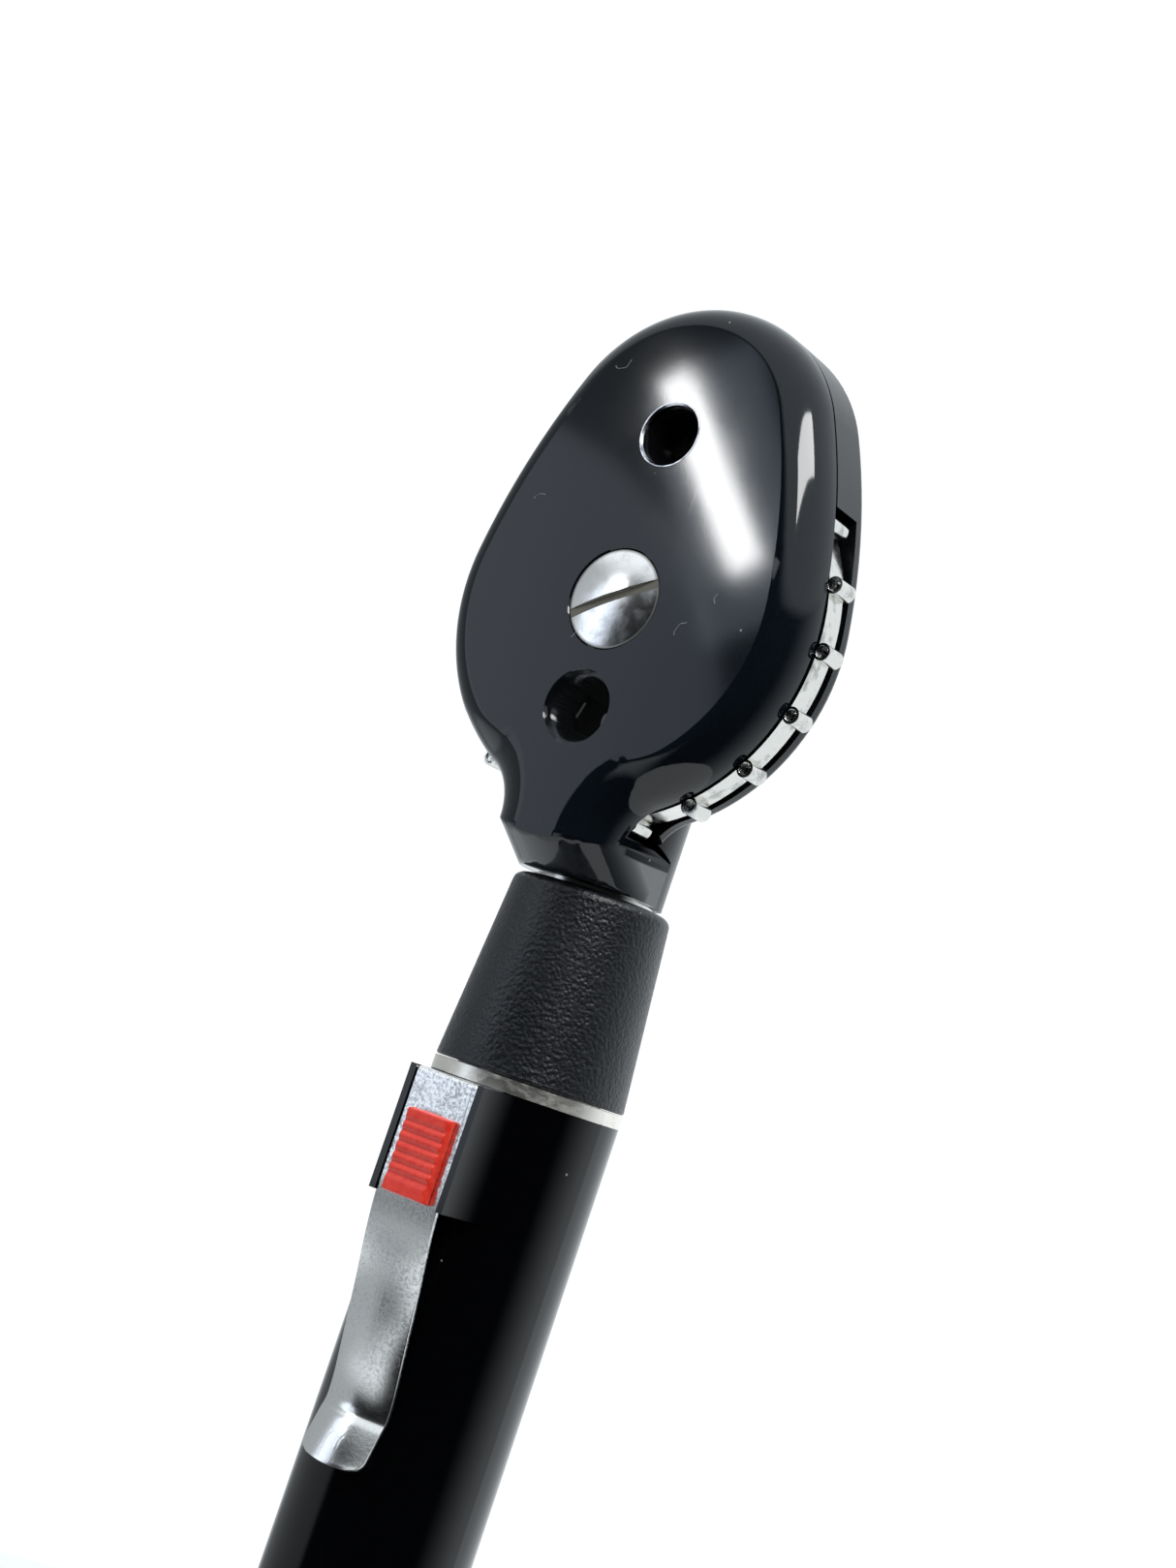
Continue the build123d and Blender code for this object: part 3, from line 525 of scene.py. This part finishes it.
def seal_rubber():
    finish = Finish("seal_rubber", (0.012, 0.012, 0.012), 0.6)
    fine = finish.spots(0.0003, detail=3)
    finish.set_roughness(fine, 0.5, 0.7)
    finish.bump(fine, 0.00002)
    return finish


def cell_jacket():
    """Plain printed sleeve of a penlight cell, with no lettering."""
    finish = Finish("cell_jacket", (0.05, 0.16, 0.34), 0.3, 0.3)
    fine = finish.spots(0.0008, detail=3)
    finish.set_colour(finish.blend_colour(fine, (0.04, 0.13, 0.30), (0.07, 0.20, 0.40)))
    finish.set_roughness(fine, 0.22, 0.38)
    finish.bump(fine, 0.000008)
    return finish


def clear_glass():
    finish = Finish("clear_glass", (1, 1, 1), 0.02)
    finish.shader.inputs["Transmission Weight"].default_value = 1.0
    finish.shader.inputs["IOR"].default_value = 1.49
    smear = finish.spots(0.002, detail=3)
    finish.set_roughness(smear, 0.0, 0.03)
    return finish


def dial_black():
    """Dead black print that hardly shines."""
    finish = Finish("dial_black", (0.0006, 0.0006, 0.0007), 0.6)
    fine = finish.spots(0.0002, detail=2)
    finish.set_roughness(fine, 0.5, 0.75)
    finish.bump(fine, 0.000002)
    finish.shader.inputs["Specular IOR Level"].default_value = 0.08
    return finish


def rim_metal():
    """Darkened edge of the sight hole, bright only where it is rubbed."""
    finish = Finish("rim_metal", (0.4, 0.4, 0.42), 0.2, 1.0)
    rub = finish.spots(0.0022, detail=3)
    rubbed = finish.band(rub, 0.42, 0.62)
    finish.set_colour(finish.blend_colour(rubbed, (0.10, 0.11, 0.13), (0.62, 0.64, 0.68)))
    finish.set_roughness(rub, 0.12, 0.3)
    finish.bump(rub, 0.000006)
    return finish


def window_glass():
    """Window over the dial, coated so that it hardly reflects."""
    finish = Finish("window_glass", (1, 1, 1), 0.01)
    finish.shader.inputs["Transmission Weight"].default_value = 1.0
    finish.shader.inputs["IOR"].default_value = 1.06
    smear = finish.spots(0.002, detail=3)
    finish.set_roughness(smear, 0.0, 0.02)
    return finish


def mirror_glass():
    finish = Finish("mirror_glass", (0.93, 0.93, 0.95), 0.03, 1.0)
    smear = finish.spots(0.001, detail=3)
    finish.set_roughness(smear, 0.01, 0.05)
    return finish


SLOT_FINISHES = {
    "black_gloss": handle_gloss,
    "head_black": cover_black,
    "casing_black": casing_black,
    "collar_black": collar_leather,
    "cap_black": cap_plastic,
    "nickel": worn_nickel,
    "clip_chrome": worn_chrome_bright_tip,
    "screw_chrome": screw_chrome,
    "stem_metal": lambda: plain_metal("stem_metal", (0.80, 0.79, 0.77), 0.16),
    "steel": lambda: plain_metal("steel", (0.62, 0.62, 0.62), 0.25),
    "brass": lambda: plain_metal("brass", (0.78, 0.58, 0.26), 0.24),
    "red_plastic": worn_red,
    "white_plastic": white_plastic,
    "wheel_silver": wheel_silver,
    "tube_black": tube_black,
    "seal_rubber": seal_rubber,
    "cell_jacket": cell_jacket,
    "clear_glass": clear_glass,
    "mirror_glass": mirror_glass,
}
finishes = {}


def material_for(slot):
    """The finish of a material slot, made once."""
    if slot not in finishes:
        finishes[slot] = SLOT_FINISHES[slot]().material
    return finishes[slot]


def dress_cad_nodes():
    """Gives every CAD node the finish of its material slot."""
    for part in frame["record"]["subparts"]:
        for slot in nodes[part["node"]].material_slots:
            slot.material = material_for(part["material_slot"])
    for node, make in (("dial_window", window_glass), ("dial_ring", dial_black), ("sight_rim", rim_metal)):
        material = make().material
        for slot in nodes[node].material_slots:
            slot.material = material


# ---- new pieces ------------------------------------------------------------------------------
def piece(name, bm, slot, body, smooth=True):
    """Turns a bmesh into an object with a finish, riding on a body."""
    mesh = bpy.data.meshes.new(name)
    bmesh.ops.recalc_face_normals(bm, faces=bm.faces)
    bm.to_mesh(mesh)
    bm.free()
    for polygon in mesh.polygons:
        polygon.use_smooth = smooth
    mesh.materials.append(material_for(slot))
    made = bpy.data.objects.new(name, mesh)
    bpy.context.scene.collection.objects.link(made)
    if body:
        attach(made, body)
    return made


def finished(name, bm, slot, modifiers, smooth=True):
    """Builds an object, applies the modifiers to its mesh and returns it."""
    made = piece(name, bm, slot, None, smooth)
    for kind, settings in modifiers:
        modifier = made.modifiers.new(kind.lower(), kind)
        for key, value in settings.items():
            setattr(modifier, key, value)
    graph = bpy.context.evaluated_depsgraph_get()
    mesh = bpy.data.meshes.new_from_object(made.evaluated_get(graph))
    made.modifiers.clear()
    made.data = mesh
    return made


def bevel(width, angle):
    """Modifier that rounds the edges sharper than an angle in degrees."""
    limit = {"limit_method": "ANGLE", "angle_limit": math.radians(angle)}
    return [("BEVEL", {"width": width, "segments": 3, **limit})]


def smooth_path(knots, steps):
    """Points of a Catmull-Rom curve through the knots."""
    padded = [2 * knots[0] - knots[1], *knots, 2 * knots[-1] - knots[-2]]
    points = []
    for a, b, c, d in zip(padded, padded[1:], padded[2:], padded[3:]):
        for step in range(steps):
            t = step / steps
            curve = 2 * b + (c - a) * t + (2 * a - 5 * b + 4 * c - d) * t * t
            points.append((curve + (3 * b - a - 3 * c + d) * t ** 3) / 2)
    return points + [knots[-1]]


def ramp(value, low, high):
    """Smooth step from 0 at low to 1 at high."""
    share = min(1.0, max(0.0, (value - low) / (high - low)))
    return share * share * (3 - 2 * share)


EDGE_DEPTH = 0.0049     # from the flat face back to where the cover's side is straight
EDGE_INSET = 0.0034     # from the cover's side in to where the face is flat
NECK_TOP_Z = 0.1450     # the edge is the CAD's own up to here
NECK_BLEND = 0.005      # height over which the edge changes to its own inset
HOLE_REACH = 0.008      # everything nearer than this to a hole's middle belongs to the hole


def beside_hole(place):
    """Whether a place on the cover belongs to the sight hole, the screw's seat or the window."""
    middles = (SIGHT_Z, PIVOT_Z, WINDOW_Z)
    return min(math.hypot(place.x, place.z - z) for z in middles) <= HOLE_REACH


def draw_in_edge(bm):
    """Moves the cover's rounded edge outwards, so that it is deeper than it is wide."""
    moves = []
    for vert in bm.verts:
        depth = vert.co.y - FACE_Y
        outward = Vector((vert.normal.x, 0, vert.normal.z))
        inner = vert.normal.y > -0.02 or outward.length < 0.005
        if inner or depth > EDGE_DEPTH or beside_hole(vert.co):
            continue
        inset = EDGE_DEPTH - math.sqrt(EDGE_DEPTH ** 2 - (EDGE_DEPTH - depth) ** 2)
        share = ramp(vert.co.z, NECK_TOP_Z, NECK_TOP_Z + NECK_BLEND) * (1 - EDGE_INSET / EDGE_DEPTH)
        moves.append((vert, outward.normalized() * inset * share))
    for vert, step in moves:
        vert.co += step


def shade_face_flat(mesh):
    """Gives the whole flat face, up to the start of its rounded edge, one normal."""
    mesh.set_sharp_from_angle(angle=math.radians(35))
    forward = Vector((0, -1, 0))
    normals = [Vector(corner.vector) for corner in mesh.corner_normals]
    for polygon in mesh.polygons:
        flat = polygon.normal.y < -0.9999
        for corner in polygon.loop_indices:
            spot = mesh.vertices[mesh.loops[corner].vertex_index].co
            on_face = spot.y - FACE_Y < 0.000001 and polygon.normal.y < -0.8
            if flat or (on_face and not beside_hole(spot)):
                normals[corner] = forward
    mesh.normals_split_custom_set(normals)


def make_cover():
    """Cover whose rounded edge is deeper than it is wide."""
    bm = bmesh.new()
    bm.from_mesh(nodes["front_cover"].data)
    bmesh.ops.remove_doubles(bm, verts=bm.verts, dist=0.0000005)
    bm.normal_update()
    draw_in_edge(bm)
    cover = piece("cover", bm, "head_black", "head")
    shade_face_flat(cover.data)
    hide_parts("front_cover")


# Side view of the clip's outer edge, as (depth, height) in millimetres.
CLIP_PATH = (
    (-9.3, 113.10), (-11.0, 113.12), (-12.4, 113.10), (-12.95, 112.9), (-13.05, 112.3),
    (-13.05, 109.5), (-13.05, 105.0), (-13.04, 101.5), (-12.83, 98.9), (-12.3, 95.6), (-11.55, 92.0),
    (-10.95, 88.6), (-10.35, 85.3), (-9.88, 82.5), (-9.72, 80.8), (-9.78, 79.7), (-10.13, 78.7),
    (-10.72, 76.7), (-11.3, 74.7),
)
CLIP_HALF = 3.95
CLIP_SHEET = 0.42
CLIP_TIP_R = 1.3
CLIP_CURVE_R = 10.45     # outer radius of the cross-curve where the clip hugs the barrel
CLIP_HUG_Z = (84.0, 98.0)       # the cross-curve fades out from the first height to the second
CLIP_BOW = 0.22          # how far the tip's end bulges downwards
CLIP_BOW_Z = (74.5, 77.5)
CLIP_RIPPLE = 0.005
SLOT_HALF = 1.6
SLOT_Z = (101.4, 108.9)
SLOT_SLACK = 0.2         # a row this far past the slot's ends still counts as in it


def clip_rows(path, columns):
    """Rows of places across the clip's outer face, each with the direction of its thickness."""
    tip_z = path[-1].y
    rows = []
    for index, point in enumerate(path):
        before = path[max(0, index - 1)]
        after = path[min(len(path) - 1, index + 1)]
        along = (after - before).normalized()
        inward = Vector((-along.y, along.x))
        rise = point.y - tip_z
        half = CLIP_HALF
        if index > len(path) / 2 and rise < CLIP_TIP_R:
            half = CLIP_HALF - CLIP_TIP_R + math.sqrt(CLIP_TIP_R ** 2 - (CLIP_TIP_R - rise) ** 2)
        hug = 1 - ramp(point.y, *CLIP_HUG_Z)
        row = []
        for column in columns:
            x = column * half
            bulge = math.sqrt(CLIP_CURVE_R ** 2 - x * x) - math.sqrt(CLIP_CURVE_R ** 2 - CLIP_HALF ** 2)
            bow = CLIP_BOW * (1 - column * column) * (1 - ramp(point.y, *CLIP_BOW_Z))
            ripple = CLIP_RIPPLE * noise.noise(Vector((x * 0.5, point.y * 0.35, 3.0)))
            outer = Vector((x, point.x - hug * bulge + ripple, point.y - bow))
            row.append((outer, Vector((0, inward.x, inward.y))))
        rows.append(row)
    return rows


def make_clip():
    """One spring strip: hooked under the ring, slotted for the button, curved in and out again."""
    columns = [-1, -0.97, -0.88, -0.75, -0.58, -SLOT_HALF / CLIP_HALF, -0.2, 0]
    columns += [-c for c in reversed(columns[:-1])]
    rows = clip_rows(smooth_path([Vector(p) for p in CLIP_PATH], 6), columns)
    bm = bmesh.new()
    outer = [[bm.verts.new(place * MM) for place, sheet in row] for row in rows]
    inner = [[bm.verts.new((place + sheet * CLIP_SHEET) * MM) for place, sheet in row] for row in rows]
    holes = set()
    for i in range(len(rows) - 1):
        z = rows[i][0][0].z
        low = rows[i + 1][0][0].z
        for j in range(len(columns) - 1):
            inside = abs(columns[j] + columns[j + 1]) / 2 * CLIP_HALF < SLOT_HALF
            if inside and low >= SLOT_Z[0] - SLOT_SLACK and z <= SLOT_Z[1] + SLOT_SLACK:
                holes.add((i, j))
                continue
            bm.faces.new((outer[i][j], outer[i][j + 1], outer[i + 1][j + 1], outer[i + 1][j]))
            bm.faces.new((inner[i][j], inner[i + 1][j], inner[i + 1][j + 1], inner[i][j + 1]))
    solid = {(i, j) for i in range(len(rows) - 1) for j in range(len(columns) - 1)} - holes
    for i, j in solid:
        for (di, dj), (a, b) in {
            (-1, 0): ((i, j), (i, j + 1)),
            (1, 0): ((i + 1, j), (i + 1, j + 1)),
            (0, -1): ((i, j), (i + 1, j)),
            (0, 1): ((i, j + 1), (i + 1, j + 1)),
        }.items():
            if (i + di, j + dj) in solid:
                continue
            (ai, aj), (bi, bj) = a, b
            bm.faces.new((outer[ai][aj], outer[bi][bj], inner[bi][bj], inner[ai][aj]))
    loose = [v for v in bm.verts if not v.link_faces]
    bmesh.ops.delete(bm, geom=loose, context="VERTS")
    clip = finished("clip_strip", bm, "clip_chrome", bevel(0.00011, 50))
    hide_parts("clip_plate", "clip_leaf")
    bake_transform(clip)


# The button in millimetres.
BUTTON_FOOT_Y = -13.10
BUTTON_TOP_Y = -14.12
BUTTON_HALF = 2.88       # half its width at the foot
BUTTON_DRAFT = 0.28      # how much narrower each half is at the top
BUTTON_COLUMNS = 17
RIB_COUNT = 7
LOW_RIB = 1.5            # the lowest rib's height, with an even rib as 1
RIB_VALLEY = 0.42        # depth between two ribs
RIB_STEPS = 12
SLIDER_BLOCKS = (        # size and middle of each block behind the clip
    ((6.2, 1.75, 6.7), (0, -11.475, 104.95)),
    ((2.9, 0.8, 4.3), (0, -12.7, 103.65)),
)


def button_outline():
    """Side view of the button's ribbed front, from its lower edge to its upper edge."""
    low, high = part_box("slide_button")
    bottom = low.z / MM + 0.02
    top = high.z / MM - 0.02
    pitch = (top - bottom - 0.5) / RIB_COUNT
    even_rib = (RIB_COUNT - LOW_RIB) / (RIB_COUNT - 1)
    outline = [(BUTTON_FOOT_Y, bottom), (BUTTON_TOP_Y, bottom + 0.14)]
    for rib in range(RIB_COUNT):
        tall = LOW_RIB if rib == 0 else even_rib
        start = bottom + 0.2 + (0 if rib == 0 else pitch * (LOW_RIB + (rib - 1) * even_rib))
        for step in range(1, RIB_STEPS):
            t = step / RIB_STEPS
            valley = RIB_VALLEY * (1 - math.sin(math.pi * t) ** 0.45)
            if rib == 0 and t < 0.5:
                valley = 0
            if rib == RIB_COUNT - 1 and t > 0.5:
                valley = 0
            outline.append((BUTTON_TOP_Y + valley, start + tall * pitch * t))
    return outline + [(BUTTON_TOP_Y, top - 0.14), (BUTTON_FOOT_Y, top)]


def make_button():
    """Red button with soft ribs, the lowest of them taller, and its slider behind the clip."""
    bm = bmesh.new()
    columns = [-1 + 2 * k / (BUTTON_COLUMNS - 1) for k in range(BUTTON_COLUMNS)]
    grid = []
    for y, z in button_outline():
        share = (y - BUTTON_FOOT_Y) / (BUTTON_TOP_Y - BUTTON_FOOT_Y)
        half = BUTTON_HALF - BUTTON_DRAFT * share
        row = []
        for column in columns:
            wear = 0.02 * noise.noise(Vector((column * 5, y * 2, z * 1.7)))
            row.append(bm.verts.new(Vector((column * half, y + abs(wear), z)) * MM))
        grid.append(row)
    for a, b in zip(grid, grid[1:]):
        for k in range(len(columns) - 1):
            bm.faces.new((a[k], a[k + 1], b[k + 1], b[k]))
    for side in (0, -1):
        bm.faces.new([row[side] for row in grid])
    for k in range(len(columns) - 1):
        bm.faces.new((grid[0][k], grid[0][k + 1], grid[-1][k + 1], grid[-1][k]))
    for size, place in SLIDER_BLOCKS:
        slider = bmesh.ops.create_cube(bm, size=MM)["verts"]
        bmesh.ops.scale(bm, vec=size, verts=slider)
        bmesh.ops.translate(bm, vec=Vector(place) * MM, verts=slider)
    button = finished("ribbed_button", bm, "red_plastic", bevel(0.00014, 48))
    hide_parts("slide_button")
    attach(button, "switch")


# The collar in millimetres.
COLLAR_FOOT_R = 10.0
COLLAR_TOP_R = 8.3
COLLAR_EDGE_R = 1.0
COLLAR_BORE_R = 7.7      # lower bore, round the ring's thread
STEM_BORE_R = 6.3        # upper bore, round the stem
LEDGE_Z = 123.15         # where the two bores meet
WALL_STEPS = 150
EDGE_STEPS = 8
COLLAR_AROUND = 430
CREASE_DEPTH = 0.026


def collar_profile(foot, head):
    """Closed outline of half the collar's section, as (radius, height)."""
    profile = [(COLLAR_BORE_R, foot + 0.02), (9.82, foot + 0.02), (9.97, foot + 0.17)]
    for step in range(1, WALL_STEPS):
        z = foot + 0.17 + (head - COLLAR_EDGE_R - foot - 0.17) * step / WALL_STEPS
        profile.append((COLLAR_FOOT_R + (COLLAR_TOP_R - COLLAR_FOOT_R) * (z - foot) / (head - foot), z))
    for step in range(0, EDGE_STEPS + 1):
        angle = math.pi / 2 * step / EDGE_STEPS
        radius = COLLAR_TOP_R - COLLAR_EDGE_R + COLLAR_EDGE_R * math.cos(angle) + 0.08 * math.cos(angle)
        profile.append((radius, head - COLLAR_EDGE_R + COLLAR_EDGE_R * math.sin(angle)))
    return profile + [(STEM_BORE_R, head), (STEM_BORE_R, LEDGE_Z), (COLLAR_BORE_R, LEDGE_Z)]


def grain(spot):
    """Depth of the leather grain at a place on the collar."""
    creases = noise.voronoi(spot * 3.5)[0]
    dent = CREASE_DEPTH * (1 - min(1.0, (creases[1] - creases[0]) * 4.0)) + 0.010 * noise.noise(spot * 4.0)
    return max(0.0, dent + 0.01)


def make_collar():
    """Collar whose leather grain is modelled in its surface."""
    low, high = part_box("grip_collar")
    foot = low.z / MM
    bm = bmesh.new()
    rings = []
    for radius, z in collar_profile(foot, high.z / MM):
        outside = radius > COLLAR_BORE_R + 0.2 and z > foot + 0.3
        ring = []
        for k in range(COLLAR_AROUND):
            angle = 2 * math.pi * k / COLLAR_AROUND
            direction = Vector((math.cos(angle), math.sin(angle), 0))
            spot = Vector((direction.x * radius, direction.y * radius, z))
            dent = grain(spot) if outside else 0.0
            ring.append(bm.verts.new((direction * (radius - dent) + Vector((0, 0, z))) * MM))
        rings.append(ring)
    for a, b in zip(rings, rings[1:] + rings[:1]):
        for k in range(COLLAR_AROUND):
            n = (k + 1) % COLLAR_AROUND
            bm.faces.new((a[k], a[n], b[n], b[k]))
    collar = piece("grained_collar", bm, "collar_black", "collar")
    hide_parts("grip_collar")


DIAL_FIGURES = (
    "0", "1", "2", "3", "4", "5", "6", "8", "10", "15",
    "20", "15", "12", "10", "8", "6", "5", "3", "2", "1",
)
DIAL_CIRCLE_R = 0.0114
LENS_STEP = 360.0 / len(DIAL_FIGURES)
FIGURE_SIZE = 0.0026
WIDE_FIGURE_SIZE = 0.0021       # of a figure with two digits
FIGURE_LIFT = 0.00002


def make_dial_figures():
    """White figures round the dial, each opposite the lens that it names."""
    face_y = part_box("dial_ring")[0].y - FIGURE_LIFT
    bm = bmesh.new()
    for index, figure in enumerate(DIAL_FIGURES):
        text = bpy.data.curves.new("figure", "FONT")
        text.body = figure
        text.size = FIGURE_SIZE if len(figure) == 1 else WIDE_FIGURE_SIZE
        text.align_x = "CENTER"
        text.align_y = "CENTER"
        text.extrude = FIGURE_LIFT
        text.resolution_u = 3
        holder = bpy.data.objects.new("figure", text)
        bpy.context.scene.collection.objects.link(holder)
        graph = bpy.context.evaluated_depsgraph_get()
        mesh = bpy.data.meshes.new_from_object(holder.evaluated_get(graph))
        bpy.data.objects.remove(holder)
        turn = Matrix.Rotation(math.radians(-index * LENS_STEP), 4, "Y")
        upright = Matrix.Rotation(math.pi / 2, 4, "X")
        down = Matrix.Translation((0, face_y, -DIAL_CIRCLE_R))
        mesh.transform(Matrix.Translation((0, 0, PIVOT_Z)) @ turn @ down @ upright)
        bm.from_mesh(mesh)
    piece("dial_figures", bm, "white_plastic", "wheel", smooth=False)


NUB_END_SIZE = (0.00066, 0.00030, 0.00066)      # half sizes of the flattened dome
NUB_R = 0.0009


def make_nub_ends():
    """Glassy domes on both ends of the finger nubs."""
    low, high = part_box("lens_wheel")
    circle = high.x - NUB_R
    bm = bmesh.new()
    for index in range(len(DIAL_FIGURES)):
        angle = math.radians(index * LENS_STEP)
        for y in (low.y, high.y):
            dome = bmesh.ops.create_uvsphere(bm, u_segments=20, v_segments=10, radius=1.0)["verts"]
            bmesh.ops.scale(bm, vec=NUB_END_SIZE, verts=dome)
            place = (circle * math.cos(angle), y, PIVOT_Z + circle * math.sin(angle))
            bmesh.ops.translate(bm, vec=place, verts=dome)
    piece("nub_ends", bm, "clear_glass", "wheel")


HAIRS = (       # start on the cover in millimetres, direction in degrees, length, curl
    (-9.5, 186.8, -50, 2.6, 2.4), (8.6, 160.2, 120, 2.2, -2.0), (-3.5, 158.0, 20, 1.3, 1.6),
    (-14.0, 171.5, 70, 1.6, -1.4), (12.0, 165.0, 200, 1.2, 2.2),
)


HAIR_R = 0.016
HAIR_LIFT = 0.02
HAIR_STEPS = 24


def make_hairs():
    """A few fibres of lint lying on the cover."""
    away = Vector((0, 1, 0))
    bm = bmesh.new()
    for x, z, heading, length, curl in HAIRS:
        angle = math.radians(heading)
        point = Vector((x, FACE_Y / MM - HAIR_LIFT, z))
        rings = []
        for step in range(HAIR_STEPS):
            forward = Vector((math.cos(angle), 0, math.sin(angle)))
            across = Vector((-forward.z, 0, forward.x))
            rings.append([
                bm.verts.new((point + HAIR_R * (math.cos(a) * across + math.sin(a) * away)) * MM)
                for a in (0, math.pi / 2, math.pi, 3 * math.pi / 2)
            ])
            point = point + forward * length / HAIR_STEPS
            angle += curl / HAIR_STEPS * (1 + 1.5 * math.sin(step * 0.6))
        for a, b in zip(rings, rings[1:]):
            for k in range(4):
                bm.faces.new((a[k], a[(k + 1) % 4], b[(k + 1) % 4], b[k]))
        bm.faces.new(rings[0])
        bm.faces.new(rings[-1])
    piece("lint", bm, "white_plastic", "head")


make_camera()
make_world()
make_lights()
make_floor()
dress_cad_nodes()
make_cover()
make_clip()
make_button()
make_collar()
make_dial_figures()
make_nub_ends()
make_hairs()
bpy.context.scene.view_settings.view_transform = "Standard"
